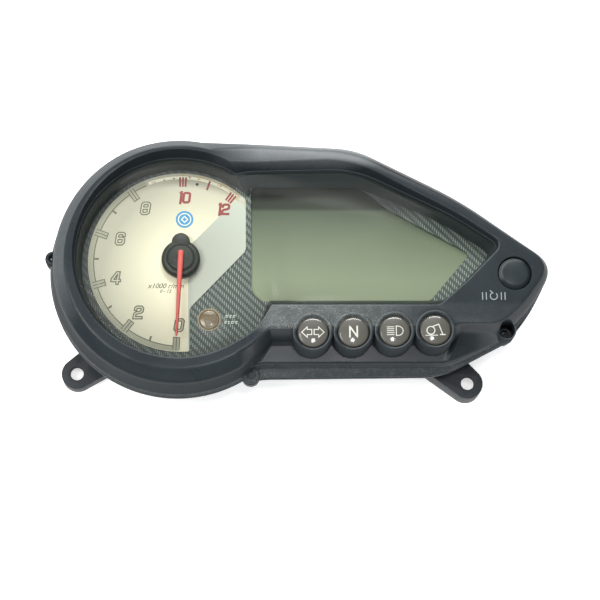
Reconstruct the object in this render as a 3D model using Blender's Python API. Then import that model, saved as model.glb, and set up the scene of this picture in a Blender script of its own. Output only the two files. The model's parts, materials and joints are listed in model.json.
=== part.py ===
"""Motorcycle instrument cluster: a needle tachometer beside a liquid crystal display, in one black case.

The case lies on its back, so +Z points out of the dial, +Y points to the hood and +X to the reset button.
Sizes below are in millimetres; metres come in only where a mesh is made.
"""

import math

import bmesh
import bpy
from mathutils import Vector

MM = 0.001
GAP = 0.3  # clearance between pieces that touch

# Heights above the plane of the three mounting points.
Z_CASE_BACK = 3.0
Z_CASE_FLOOR = 5.2
Z_FLANGE_LOW = 25.4
Z_FLANGE_TOP = 27.6
Z_LOBE_LOW = 22.4
Z_BEZEL_LOW = 28.8
Z_BOARD = 14.0
BOARD_THICK = 1.6
Z_BOARD_TOP = Z_BOARD + BOARD_THICK
Z_PLATE = 34.4
PLATE_THICK = 1.0
Z_DIAL = 35.7
DIAL_THICK = 0.4
LCD_THICK = 1.6
Z_MASK_FOOT = 36.4
MASK_FOOT = 3.4  # width of the foot round the mask
Z_MASK_TOP = 44.5
Z_GLAZING = 44.9
GLAZING_THICK = 1.8
Z_WALL_FOOT = 47.0
BEZEL_THICK = 2.0

# Tachometer.
PIVOT = (-54.5, 3.9)
DIAL_CENTRE = (-54.7, 3.4)
DIAL_R = 44.8
HUB_R = 9.3
SHAFT_R = 0.75
NEEDLE_REST = 2.5  # degrees, clockwise from straight down, at which the pointer stands on zero
NEEDLE_LENGTH = 39.0
NEEDLE_ROOT_WIDTH = 2.7
NEEDLE_TIP_WIDTH = 1.2
GEAR_MODULE = 0.5
OUTPUT_TEETH = 36
LAYSHAFT_TEETH = 32
PINION_TEETH = 8
LAYSHAFT = (PIVOT[0] + 11.0, PIVOT[1])
ROTOR = (PIVOT[0] + 11.0, PIVOT[1] + 10.0)

# Warning lamps, from left to right.
LAMPS = (("turn", 8.6, -35.2), ("neutral", 27.9, -35.0), ("high_beam", 47.5, -34.6),
         ("side_stand", 66.9, -34.0))
SLEEVE_R = 9.6
SLEEVE_BORE_R = 7.6
LAMP_LENS_R = 7.3
Z_SLEEVE_TOP = 51.5
RPM_LAMP = (-40.7, -25.5)
RPM_LAMP_R = 5.0

# Reset button.
BUTTON = (105.9, -6.0)
BUTTON_R = 7.8
BUTTON_BORE_R = 8.3
Z_BUTTON_TOP = 51.2

# Mounting points: x, y, top of the boss.
LEFT_LUG = (-106.0, -46.4, 9.0)
RIGHT_LUG = (86.2, -52.4, 13.0)
TOP_BOSS = (-5.0, 40.0, 5.0)
LUG_ROOTS = {"left": (-88.0, -34.0), "right": (70.0, -38.0)}
LUG_ROOT_HALF = 9.5
LUG_R = 7.6
LUG_BORE_R = 3.2

# Screws that hold the case together, on lobes of the flange, and screws that hold the circuit board.
# Each case screw = x, y, radius of its lobe.
CASE_SCREWS = ((-116.9, 6.0, 4.0), (-20.6, -51.8, 4.4), (102.5, -32.1, 4.0), (-82.3, 53.6, 4.4),
               (-12.0, 58.6, 4.4), (72.5, 35.0, 4.4))
BOARD_SCREWS = ((-92.0, 30.0), (-92.0, -22.0), (0.0, 46.6), (92.0, -14.0))
SCREW_HEAD_R = 2.8

# Connector and breather in the back, and the number of pins in the connector's row.
CONNECTOR = (-2.0, -6.0)
VENT = (45.0, 10.0)
PIN_COUNT = 6
PIN_PITCH = 4.4

RING_STEPS = 26
CORNER_STEPS = 3
STRAIGHT_STEPS = 1
ROUND = 24

# Each outline runs counter-clockwise: round the tachometer ring, along the lower edge, round the tip at the
# button and back along the hood. ring = centre x, y, radius, height, hood lift, start and end angle.
# Each corner = x, y, height, length by which it is cut back on both sides.
WINDOW_FOOT = {
    "ring": (-55.2, 2.5, 47.3, Z_MASK_FOOT, 0.0, 46.0, 300.0),
    "corners": ((-17.9, -32.3, Z_MASK_FOOT, 11.5), (-11.8, -16.2, Z_MASK_FOOT, 0.8),
                (60.0, -16.2, Z_MASK_FOOT, 1.5), (65.0, -16.2, Z_MASK_FOOT, 1.5),
                (73.8, -16.2, Z_MASK_FOOT, 4.0), (84.0, -6.0, Z_MASK_FOOT, 2.0),
                (96.5, 7.2, Z_MASK_FOOT, 5.0), (70.0, 24.6, Z_MASK_FOOT, 14.0),
                (33.0, 40.8, Z_MASK_FOOT, 9.0), (-19.5, 40.9, Z_MASK_FOOT, 1.5)),
}
CREASE = {
    "ring": (-55.0, 4.0, 51.0, 50.0, 3.5, 62.0, 300.0),
    "corners": ((-18.0, -33.5, 50.0, 12.6), (-10.8, -21.5, 50.0, 0.8), (60.0, -21.5, 50.0, 1.5),
                (64.0, -21.5, 50.0, 1.0), (69.5, -21.5, 50.0, 4.0), (84.0, -8.4, 50.0, 2.0),
                (100.8, 8.8, 50.3, 5.5), (80.0, 23.5, 50.6, 14.0), (27.0, 50.9, 52.8, 14.0),
                (-20.0, 48.8, 52.9, 6.0)),
}
FACE_EDGE = {
    "ring": (-55.1, 2.0, 54.8, 50.0, 3.5, 75.0, 300.0),
    "corners": ((-19.5, -40.8, 50.0, 9.0), (-11.8, -32.5, 50.0, 0.8), (75.5, -32.5, 50.0, 1.0),
                (79.0, -30.6, 50.0, 1.0), (98.5, -30.6, 50.0, 7.0), (109.0, -21.0, 50.0, 6.0),
                (123.6, -1.2, 50.0, 10.5), (78.8, 29.9, 50.4, 14.0), (29.3, 54.6, 52.0, 12.0),
                (-20.0, 56.4, 52.4, 10.0)),
}
OUTER_CREST = {
    "ring": (-55.2, 1.0, 60.0, 46.5, 3.0, 80.0, 300.0),
    "corners": ((-15.6, -42.9, 36.0, 6.8), (-10.4, -37.2, 36.0, 0.8), (76.0, -37.2, 36.0, 1.0),
                (80.0, -33.2, 42.0, 1.0), (102.5, -33.2, 42.0, 8.0), (114.6, -21.0, 43.0, 6.0),
                (126.3, -1.2, 46.0, 11.0), (80.0, 31.8, 47.3, 14.0), (30.0, 57.0, 48.5, 9.0),
                (-20.0, 59.3, 49.4, 10.0)),
}
WALL_FOOT = {
    "ring": (-55.9, -0.1, 61.5, 32.0, 0.0, 82.0, 300.0),
    "corners": ((-20.0, -48.2, 35.5, 3.0), (-15.0, -46.8, 35.5, 1.5), (72.0, -46.8, 35.5, 1.5),
                (78.0, -45.0, 35.0, 2.0), (103.5, -33.9, 31.8, 5.0), (115.0, -21.0, 31.8, 6.0),
                (126.0, -1.2, 31.8, 11.0), (80.4, 32.4, 31.8, 14.0), (30.2, 57.7, 31.8, 9.0),
                (-20.0, 60.2, 31.8, 10.0)),
}
FLANGE_STEP = {
    "ring": (-55.9, -0.1, 61.9, 31.2, 0.0, 82.0, 300.0),
    "corners": ((-21.0, -50.4, 31.4, 3.0), (-15.0, -48.6, 31.4, 1.5), (72.0, -48.6, 31.4, 1.5),
                (78.4, -46.8, 31.4, 2.0), (104.2, -34.4, 31.2, 5.0), (115.3, -21.0, 31.2, 6.0),
                (126.2, -1.2, 31.2, 11.0), (80.6, 32.8, 31.2, 14.0), (30.3, 58.1, 31.2, 9.0),
                (-20.0, 60.7, 31.2, 10.0)),
}
FLANGE_EDGE = {
    "ring": (-55.9, -0.1, 62.4, 30.8, 0.0, 82.0, 300.0),
    "corners": ((-20.6, -54.2, 30.8, 3.0), (-14.0, -53.2, 30.8, 3.0), (66.0, -52.4, 30.8, 3.0),
                (76.0, -50.0, 30.8, 4.0), (105.0, -34.9, 30.8, 5.0), (115.8, -21.0, 30.8, 6.0),
                (126.4, -1.2, 30.8, 11.0), (81.0, 33.4, 30.8, 14.0), (30.5, 58.7, 30.8, 9.0),
                (-20.0, 61.4, 30.8, 10.0)),
}
DISPLAY_WINDOW = ((-20.5, 41.6), (-20.5, -11.6), (-15.0, -16.6), (66.0, -16.6), (86.4, 7.6),
                  (45.4, 30.7), (32.7, 41.6))

SURFACES = {
    "case_black": ((0.030, 0.033, 0.036), 0.55, 0.0),
    "bezel_black": ((0.035, 0.040, 0.043), 0.45, 0.0),
    "mask_black": ((0.030, 0.034, 0.036), 0.6, 0.0),
    "clear": ((0.92, 0.95, 0.94), 0.04, 0.0),
    "carbon_print": ((0.09, 0.11, 0.10), 0.4, 0.0),
    "dial_silver": ((0.86, 0.85, 0.76), 0.45, 0.1),
    "needle_red": ((0.75, 0.14, 0.12), 0.4, 0.0),
    "hub_black": ((0.040, 0.042, 0.040), 0.4, 0.0),
    "display_glass": ((0.30, 0.35, 0.26), 0.1, 0.0),
    "white_plastic": ((0.80, 0.81, 0.79), 0.5, 0.0),
    "nylon": ((0.78, 0.77, 0.70), 0.5, 0.0),
    "board_green": ((0.03, 0.17, 0.08), 0.5, 0.0),
    "lamp_smoke": ((0.10, 0.10, 0.09), 0.12, 0.0),
    "lamp_amber": ((0.42, 0.27, 0.13), 0.2, 0.0),
    "led_clear": ((0.85, 0.85, 0.78), 0.2, 0.0),
    "rubber": ((0.022, 0.022, 0.022), 0.75, 0.0),
    "steel": ((0.60, 0.60, 0.61), 0.35, 1.0),
    "copper": ((0.72, 0.35, 0.18), 0.35, 1.0),
    "brass": ((0.72, 0.56, 0.28), 0.3, 1.0),
    "magnet": ((0.12, 0.12, 0.13), 0.5, 0.3),
}


def clear_scene():
    for obj in list(bpy.data.objects):
        bpy.data.objects.remove(obj)


def material(name):
    found = bpy.data.materials.get(name)
    if found:
        return found
    colour, roughness, metallic = SURFACES[name]
    made = bpy.data.materials.new(name)
    made.use_nodes = True
    shader = made.node_tree.nodes["Principled BSDF"]
    shader.inputs["Base Color"].default_value = (*colour, 1.0)
    shader.inputs["Roughness"].default_value = roughness
    shader.inputs["Metallic"].default_value = metallic
    return made


# Outlines


def rounded_corner(before, corner, after, cut):
    """Points of the curve that replaces a corner, from cut before it to cut after it."""
    cut = min(cut, 0.45 * (before - corner).length, 0.45 * (after - corner).length)
    start = corner + (before - corner).normalized() * cut
    end = corner + (after - corner).normalized() * cut
    points = []
    for step in range(CORNER_STEPS + 1):
        t = step / CORNER_STEPS
        points.append(start * (1 - t) ** 2 + corner * 2 * t * (1 - t) + end * t ** 2)
    return points


def hood_lift(y):
    """Share of the hood's extra height at a distance y behind the middle of the tachometer."""
    return max(0.0, min(1.0, y / 55.0)) ** 2


def outline_points(outline):
    """The points of one outline, all outlines giving the same number of them."""
    x, y, radius, height, lift, first, last = outline["ring"]
    points = []
    for step in range(RING_STEPS + 1):
        angle = math.radians(first + (last - first) * step / RING_STEPS)
        py = y + radius * math.sin(angle)
        points.append(Vector((x + radius * math.cos(angle), py, height + lift * hood_lift(py))))
    corners = [Vector(c[:3]) for c in outline["corners"]]
    chain = [points[-1], *corners, points[0]]
    for index, corner in enumerate(outline["corners"]):
        curve = rounded_corner(chain[index], chain[index + 1], chain[index + 2], corner[3])
        points += between(points[-1], curve[0]) + curve
    return points + between(points[-1], points[0])


def between(start, end):
    """The inner points of a straight stretch."""
    return [start.lerp(end, step / (STRAIGHT_STEPS + 1)) for step in range(1, STRAIGHT_STEPS + 1)]


def grown(outline, distance, height=None, drop=0.0):
    """The outline moved outwards by a distance, and to another height or down by a drop."""
    x, y, radius, ring_z, lift, first, last = outline["ring"]
    ends = []
    for angle in (math.radians(last), math.radians(first)):
        ends.append(Vector((x + radius * math.cos(angle), y + radius * math.sin(angle))))
    chain = [ends[0], *[Vector(c[:2]) for c in outline["corners"]], ends[1]]
    corners = []
    for index, (_, _, z, cut) in enumerate(outline["corners"]):
        into = (chain[index + 1] - chain[index]).normalized()
        out = (chain[index + 2] - chain[index + 1]).normalized()
        side_in = Vector((into.y, -into.x))
        side_out = Vector((out.y, -out.x))
        mitre = (side_in + side_out) / (1 + side_in.dot(side_out))
        point = chain[index + 1] + mitre * distance
        corners.append((point.x, point.y, z - drop if height is None else height, cut))
    if height is not None:
        ring_z = height
        lift = 0.0
    return {"ring": (x, y, radius + distance, ring_z - drop, lift, first, last), "corners": tuple(corners)}


def offset_polygon(points, distance):
    """A polygon of straight sides, given counter-clockwise, moved outwards by a distance."""
    moved = []
    count = len(points)
    for index in range(count):
        before, corner, after = (Vector(points[(index + k) % count]) for k in (-1, 0, 1))
        into = (corner - before).normalized()
        out = (after - corner).normalized()
        side_in = Vector((into.y, -into.x))
        side_out = Vector((out.y, -out.x))
        moved.append(tuple(corner + (side_in + side_out) / (1 + side_in.dot(side_out)) * distance))
    return moved


def arc(x, y, radius, start, end, steps):
    """Points of an arc between two angles in radians, both ends among them."""
    angles = [start + (end - start) * k / steps for k in range(steps + 1)]
    return [(x + radius * math.cos(angle), y + radius * math.sin(angle)) for angle in angles]


def circle(x, y, radius, steps=ROUND):
    return arc(x, y, radius, 0.0, 2 * math.pi, steps)[:-1]


def chord_circle(x, y, radius, edge):
    """A circle cut off straight at x = edge."""
    start = math.acos((edge - x) / radius)
    return arc(x, y, radius, start, 2 * math.pi - start, 32)


def spun(points, centre, angle):
    """Points turned clockwise about a centre by an angle in degrees."""
    cosine = math.cos(math.radians(angle))
    sine = math.sin(math.radians(angle))
    x, y = centre
    return [(x + (px - x) * cosine + (py - y) * sine, y - (px - x) * sine + (py - y) * cosine)
            for px, py in points]


# Solids


def add_object(name, mesh_points, faces, surface, origin=(0, 0, 0)):
    """A named object from points in millimetres, placed so that its origin is at the given point."""
    mesh = bpy.data.meshes.new(name)
    mesh.from_pydata([[(p[i] - origin[i]) * MM for i in range(3)] for p in mesh_points], [], faces)
    work = bmesh.new()
    work.from_mesh(mesh)
    bmesh.ops.recalc_face_normals(work, faces=work.faces)
    work.to_mesh(mesh)
    work.free()
    mesh.materials.append(material(surface))
    obj = bpy.data.objects.new(name, mesh)
    obj.location = [value * MM for value in origin]
    bpy.context.scene.collection.objects.link(obj)
    mesh.shade_smooth()
    mesh.set_sharp_from_angle(angle=math.radians(35))
    return obj


def lofted(name, loops, surface, capped=True, origin=(0, 0, 0)):
    """A skin through loops that have the same number of points, closed with flat ends."""
    count = len(loops[0])
    points = [p for loop in loops for p in loop]
    faces = []
    for row in range(len(loops) - 1):
        for k in range(count):
            a = row * count + k
            b = row * count + (k + 1) % count
            faces.append((a, b, b + count, a + count))
    if capped:
        faces.append(tuple(range(count)))
        faces.append(tuple(range((len(loops) - 1) * count, len(loops) * count)))
    return add_object(name, points, faces, surface, origin)


def ring_lofted(name, loops, surface):
    """A closed skin through loops that have the same number of points, the last joined to the first."""
    count = len(loops[0])
    faces = []
    for row in range(len(loops)):
        a, b = row * count, (row + 1) % len(loops) * count
        for k in range(count):
            after = (k + 1) % count
            faces.append((a + k, a + after, b + after, b + k))
    return add_object(name, [p for loop in loops for p in loop], faces, surface)


def plate(name, points, low, high, surface, origin=(0, 0, 0)):
    """A flat plate with straight sides."""
    loops = [[(p[0], p[1], z) for p in points] for z in (low, high)]
    return lofted(name, loops, surface, True, origin)


def turned(name, profile, centre, surface, steps=ROUND, closed=False, origin=None):
    """A turned solid from (radius, height) points. A closed profile makes a tube."""
    x, y = centre
    points = []
    rows = []
    for radius, height in profile:
        if radius == 0:
            rows.append([len(points)] * steps)
            points.append((x, y, height))
            continue
        rows.append(list(range(len(points), len(points) + steps)))
        points += [(*p, height) for p in circle(x, y, radius, steps)]
    faces = []
    pairs = list(zip(rows, rows[1:] + rows[:1])) if closed else list(zip(rows, rows[1:]))
    for low, high in pairs:
        for k in range(steps):
            after = (k + 1) % steps
            corners = dict.fromkeys((low[k], low[after], high[after], high[k]))
            faces.append(tuple(corners))
    if not closed:
        for row in (rows[0], rows[-1]):
            if row[0] != row[1]:
                faces.append(tuple(row))
    return add_object(name, points, faces, surface, origin or (0, 0, 0))


def helper(obj):
    """Marks a solid that only shapes another one."""
    obj.hide_render = True
    obj.display_type = "WIRE"
    return obj


def shape(obj, operation, other):
    """Joins another solid to this one, or cuts it out of it."""
    helper(other)
    modifier = obj.modifiers.new(operation.lower(), "BOOLEAN")
    modifier.operation = operation
    modifier.solver = "EXACT"
    modifier.object = other
    return obj


def cut_hole(obj, label, place, radius, low, high, steps=16):
    cutter = plate(f"{obj.name}_{label}_hole", circle(place[0], place[1], radius, steps), low, high, "steel")
    shape(obj, "DIFFERENCE", cutter)


def parent_at(obj, empty_name, place):
    """Hangs a moving piece on an empty on its joint's axis, leaving the piece where it is."""
    empty = bpy.data.objects.get(empty_name)
    if empty is None:
        empty = bpy.data.objects.new(empty_name, None)
        empty.location = [value * MM for value in place]
        bpy.context.scene.collection.objects.link(empty)
    location = obj.location.copy()
    obj.parent = empty
    obj.location = location - Vector(empty.location)
    return obj


# Case


def wall_points(height, outward=0.0):
    """A level line on the slope from the crease to the foot of the window, or on its hidden side."""
    points = []
    foot_points = outline_points(grown(WINDOW_FOOT, outward))
    for top, foot in zip(outline_points(grown(CREASE, outward)), foot_points):
        points.append(top.lerp(foot, (top.z - height) / (top.z - foot.z)))
    return points


def front_bezel():
    thick = BEZEL_THICK
    outside = (CREASE, FACE_EDGE, OUTER_CREST, WALL_FOOT, FLANGE_STEP, FLANGE_EDGE,
               grown(FLANGE_EDGE, 0.0, Z_BEZEL_LOW), grown(FLANGE_STEP, -2.2, Z_BEZEL_LOW),
               grown(WALL_FOOT, -thick, drop=thick), grown(OUTER_CREST, -thick, drop=thick))
    roof = []
    for inner, outer in zip(outline_points(CREASE), outline_points(FACE_EDGE)):
        roof.append(inner.lerp(outer, 0.5) - Vector((0, 0, thick)))
    loops = [wall_points(Z_WALL_FOOT), *[outline_points(outline) for outline in outside], roof,
             wall_points(Z_WALL_FOOT, 1.5)]
    bezel = ring_lofted("front_bezel", loops, "bezel_black")
    for name, x, y in LAMPS:
        sleeve = plate(f"sleeve_{name}", circle(x, y, SLEEVE_R), 31.0, Z_SLEEVE_TOP, "bezel_black")
        shape(bezel, "UNION", sleeve)
    guide = plate("button_guide", circle(*BUTTON, BUTTON_BORE_R + 1.2), 39.0, 49.5, "bezel_black")
    shape(bezel, "UNION", guide)
    for index, (x, y, radius) in enumerate(CASE_SCREWS):
        lobe = plate(f"bezel_lobe_{index}", circle(x, y, radius, 14), Z_BEZEL_LOW + 0.1, 32.2, "bezel_black")
        shape(bezel, "UNION", lobe)
    for name, x, y in LAMPS:
        cut_hole(bezel, name, (x, y), SLEEVE_BORE_R, 20.0, 60.0, ROUND)
    cut_hole(bezel, "button", BUTTON, BUTTON_BORE_R, 20.0, 60.0, ROUND)
    for index, place in enumerate(CASE_SCREWS):
        cut_hole(bezel, f"screw_{index}", place, 1.5, 20.0, 31.0, 10)
    return bezel


def clear_lens():
    """The flat window behind the bezel's opening."""
    plate("clear_lens", wall_points(Z_WALL_FOOT, 1.9), Z_GLAZING, Z_GLAZING + GLAZING_THICK, "clear")


def inner_mask():
    """The sloping surround between the window and the dial, with a foot that holds the trim plate down."""
    thick = 1.4
    low, high = Z_MASK_FOOT, Z_MASK_FOOT + thick
    loops = [
        wall_points(Z_MASK_TOP),
        outline_points(WINDOW_FOOT),
        outline_points(grown(WINDOW_FOOT, MASK_FOOT, low)),
        outline_points(grown(WINDOW_FOOT, MASK_FOOT, high)),
        wall_points(high, thick),
        wall_points(Z_MASK_TOP, thick),
    ]
    return ring_lofted("inner_mask", loops, "mask_black")


def rear_case():
    """The tray behind the board, with its flange, mounting lugs and board posts."""
    steps = (
        (-9.5, Z_CASE_BACK), (-7.0, 6.0), (-6.0, Z_FLANGE_LOW), (0.0, Z_FLANGE_LOW),
        (0.0, Z_FLANGE_TOP), (-8.0, Z_FLANGE_TOP), (-9.0, 8.0), (-11.0, Z_CASE_FLOOR),
    )
    loops = [outline_points(grown(FLANGE_EDGE, inset, height)) for inset, height in steps]
    case = lofted("rear_case", loops, "case_black")
    for name, lug in (("left", LEFT_LUG), ("right", RIGHT_LUG)):
        shape(case, "UNION", lug_arm(name, lug, LUG_ROOTS[name]))
    boss = plate("top_boss", circle(TOP_BOSS[0], TOP_BOSS[1], LUG_R), 0.0, TOP_BOSS[2], "case_black")
    shape(case, "UNION", boss)
    for index, (x, y) in enumerate(BOARD_SCREWS):
        post = plate(f"post_{index}", circle(x, y, 3.2, 12), 4.0, Z_BOARD - GAP, "case_black")
        shape(case, "UNION", post)
    for index, (x, y, radius) in enumerate(CASE_SCREWS):
        lobe = circle(x, y, radius, 14)
        lobe = plate(f"case_lobe_{index}", lobe, Z_LOBE_LOW, Z_FLANGE_TOP - 0.1, "case_black")
        shape(case, "UNION", lobe)
    for index, (x, y, _) in enumerate((LEFT_LUG, RIGHT_LUG)):
        cut_hole(case, f"lug_{index}", (x, y), LUG_BORE_R, -5.0, 20.0, 32)
    cut_hole(case, "top_boss", TOP_BOSS, 2.6, -5.0, 4.2, 16)
    for index, place in enumerate(CASE_SCREWS):
        cut_hole(case, f"screw_{index}", place, 1.6, 15.0, 30.0, 10)
    for index, place in enumerate(BOARD_SCREWS):
        cut_hole(case, f"post_{index}", place, 1.3, 6.5, 20.0, 10)
    opening = plate("connector_opening", box_outline(*CONNECTOR, 17.0, 8.0), 0.0, 10.0, "steel")
    shape(case, "DIFFERENCE", opening)
    cut_hole(case, "vent", VENT, 2.6, 0.0, 10.0, 12)
    return case


def box_outline(x, y, half_x, half_y):
    left, right = x - half_x, x + half_x
    low, high = y - half_y, y + half_y
    return [(left, low), (right, low), (right, high), (left, high)]


def lug_arm(name, lug, root):
    """A round lug with an arm that runs back under the case."""
    x, y, top = lug
    away = math.atan2(y - root[1], x - root[0])
    outline = arc(x, y, LUG_R, away - math.pi / 2, away + math.pi / 2, 12)
    side = Vector((-math.sin(away), math.cos(away))) * LUG_ROOT_HALF
    outline.append((root[0] + side.x, root[1] + side.y))
    outline.append((root[0] - side.x, root[1] - side.y))
    return plate(f"{name}_lug", outline, 0.0, top, "case_black")


def case_gasket():
    low, high = Z_FLANGE_TOP + GAP, Z_BEZEL_LOW - GAP
    loops = [outline_points(grown(FLANGE_EDGE, inset, height))
             for inset, height in ((-0.7, low), (-0.7, high), (-2.4, high), (-2.4, low))]
    gasket = ring_lofted("case_gasket", loops, "rubber")
    for index, (x, y, _) in enumerate(CASE_SCREWS):
        eyelet = plate(f"eyelet_{index}", circle(x, y, 3.2, 10), low, high, "rubber")
        shape(gasket, "UNION", eyelet)
    for index, place in enumerate(CASE_SCREWS):
        cut_hole(gasket, f"eyelet_{index}", place, 1.5, 20.0, 35.0, 8)


def case_screws():
    high = Z_LOBE_LOW - GAP
    low = high - 1.8
    profile = (
        (0, low), (SCREW_HEAD_R - 0.5, low), (SCREW_HEAD_R, low + 0.6),
        (SCREW_HEAD_R, high), (1.2, high), (1.2, 30.6), (0, 30.6),
    )
    for index, place in enumerate(CASE_SCREWS, 1):
        turned(f"case_screw_{index}", profile, place[:2], "steel", 12)


def board_screws():
    low = Z_BOARD_TOP + GAP
    profile = (
        (0, 7.0), (1.0, 7.0), (1.0, low), (2.8, low),
        (2.8, low + 1.1), (2.0, low + 1.8), (0, low + 1.8),
    )
    for index, place in enumerate(BOARD_SCREWS, 1):
        turned(f"board_screw_{index}", profile, place, "steel", 12)


# Dial, display and board


def trim_plate():
    rim = [(p.x, p.y) for p in outline_points(grown(WINDOW_FOOT, MASK_FOOT))]
    trim = plate("trim_plate", rim, Z_PLATE, Z_PLATE + PLATE_THICK, "carbon_print")
    window = plate("display_cut", DISPLAY_WINDOW, 30.0, 40.0, "steel")
    shape(trim, "DIFFERENCE", window)
    cut_hole(trim, "shaft", PIVOT, 3.0, 30.0, 40.0, 16)
    cut_hole(trim, "rpm", RPM_LAMP, RPM_LAMP_R + GAP, 30.0, 40.0, 20)


def dial_outline():
    """The silver dial: a circle cut by the display's edge and by the corner that holds the limit lamp."""
    right_end, lower_end = -26.4, -50.2
    start = math.acos((right_end - DIAL_CENTRE[0]) / DIAL_R)
    end = 2 * math.pi - math.acos((lower_end - DIAL_CENTRE[0]) / DIAL_R)
    corner = ((lower_end, -20.9), (-49.3, -19.0), (-23.8, 8.0), (-23.0, 10.0), (-23.0, 34.0), (-23.4, 35.4))
    return arc(*DIAL_CENTRE, DIAL_R, start, end, 40) + list(corner)


def tacho_dial():
    dial = plate("tacho_dial", dial_outline(), Z_DIAL, Z_DIAL + DIAL_THICK, "dial_silver")
    cut_hole(dial, "shaft", PIVOT, 2.4, 30.0, 40.0, 16)


def display():
    glass_low = Z_PLATE - GAP - LCD_THICK
    glass = offset_polygon(DISPLAY_WINDOW, 1.2)
    plate("lcd_glass", glass, glass_low, glass_low + LCD_THICK, "display_glass")
    guide = ((-20.3, 31.0), *DISPLAY_WINDOW[1:5], (45.4, 30.5))
    plate("lcd_backlight", guide, 27.0, 31.4, "white_plastic")
    inside = ((-20.5, 38.8), *DISPLAY_WINDOW[1:6], (36.0, 38.8))
    outside = offset_polygon(inside, 3.4)
    housing = plate("lcd_housing", outside, Z_BOARD_TOP + GAP, glass_low - GAP, "white_plastic")
    cavity = plate("lcd_cavity", offset_polygon(inside, 1.6), 10.0, 40.0, "steel")
    shape(housing, "DIFFERENCE", cavity)
    for index, x in enumerate((-17.5, 30.0)):
        ledge = plate(f"lcd_ledge_{index}", box_outline(x, -14.9, 3.0, 3.9), 24.6, 26.6, "white_plastic")
        shape(housing, "UNION", ledge)
    zebra = box_outline(8.0, 34.4, 26.0, 1.2)
    plate("lcd_zebra_strip", zebra, Z_BOARD_TOP + GAP, glass_low - GAP, "rubber")


def light_chamber():
    """The white wall that keeps the dial lighting under the tachometer."""
    radius, edge, wall = 41.5, -25.2, 1.6
    outside = chord_circle(*PIVOT, radius, edge)
    inside = chord_circle(*PIVOT, radius - wall, edge - wall)
    chamber = plate("dial_light_chamber", outside, Z_BOARD_TOP + GAP, Z_PLATE - GAP, "white_plastic")
    cavity = plate("chamber_cavity", inside, 10.0, 40.0, "steel")
    shape(chamber, "DIFFERENCE", cavity)


def main_board():
    edge = [(p.x, p.y) for p in outline_points(grown(FLANGE_EDGE, -10.6))]
    board = plate("main_board", edge, Z_BOARD, Z_BOARD_TOP, "board_green")
    for index, place in enumerate(BOARD_SCREWS):
        cut_hole(board, f"screw_{index}", place, 1.5, 10.0, 20.0, 10)
    for index in range(PIN_COUNT):
        cut_hole(board, f"pin_{index}", pin_place(index), 0.75, 10.0, 20.0, 8)


def pin_place(index):
    return (CONNECTOR[0] + (index - (PIN_COUNT - 1) / 2) * PIN_PITCH, CONNECTOR[1])


def connector():
    low, high = Z_CASE_BACK - 2.6, Z_BOARD - GAP
    socket = plate("connector_socket", box_outline(*CONNECTOR, 16.6, 7.6), low, high, "nylon")
    mouth = plate("socket_mouth", box_outline(*CONNECTOR, 14.8, 5.8), low - 2, high - 2.4, "steel")
    shape(socket, "DIFFERENCE", mouth)
    for index in range(PIN_COUNT):
        cut_hole(socket, f"pin_{index}", pin_place(index), 0.75, 8.0, 20.0, 8)
        x, y = pin_place(index)
        profile = ((0, 3.2), (0.45, 3.2), (0.45, Z_BOARD_TOP + 1.0), (0, Z_BOARD_TOP + 1.0))
        turned(f"connector_pin_{index + 1}", profile, (x, y), "brass", 8)


def vent():
    seat = Z_CASE_BACK - GAP
    profile = ((0, 1.2), (5.0, 1.2), (5.0, seat), (2.3, seat), (2.3, 6.8), (0, 6.8))
    turned("breather_vent", profile, VENT, "rubber", 16)


# Lamps


def lamps():
    body = ((0, Z_BOARD_TOP + GAP), (2.5, Z_BOARD_TOP + GAP), (2.5, 18.2), (1.6, 19.8), (0, 20.4))
    for name, x, y in LAMPS:
        profile = ((0, 48.2), (LAMP_LENS_R - 0.8, 48.2), (LAMP_LENS_R, 48.6), (LAMP_LENS_R, 50.2),
                   (LAMP_LENS_R - 0.7, 50.8), (LAMP_LENS_R * 0.5, 51.1), (0, 51.2))
        turned(f"{name}_lens", profile, (x, y), "lamp_smoke")
        turned(f"{name}_led", body, (x, y), "led_clear", 12)
    x, y = RPM_LAMP
    z = Z_PLATE + 0.4
    profile = ((0, z), (RPM_LAMP_R, z), (RPM_LAMP_R, z + 1.4), (RPM_LAMP_R - 0.6, z + 1.9), (0, z + 2.1))
    turned("rpm_limit_lens", profile, (x, y), "lamp_amber", 20)
    turned("rpm_limit_led", body, (x, y), "led_clear", 12)
    light_tubes()


def light_tubes():
    """The black block of tubes that takes each lamp's light from the board to its sleeve."""
    xs = [lamp[1] for lamp in LAMPS]
    edge = [(xs[0] - 8.6, -42.6), (xs[-1] + 1.0, -42.0), (xs[-1] + 8.2, -37.0), (xs[-1] + 8.2, -26.0),
            (xs[0] - 8.6, -26.6)]
    block = plate("lamp_light_tubes", edge, Z_BOARD_TOP + GAP, 30.6, "mask_black")
    for name, x, y in LAMPS:
        cut_hole(block, name, (x, y), 6.8, 10.0, 40.0, ROUND)


# Reset button


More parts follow.
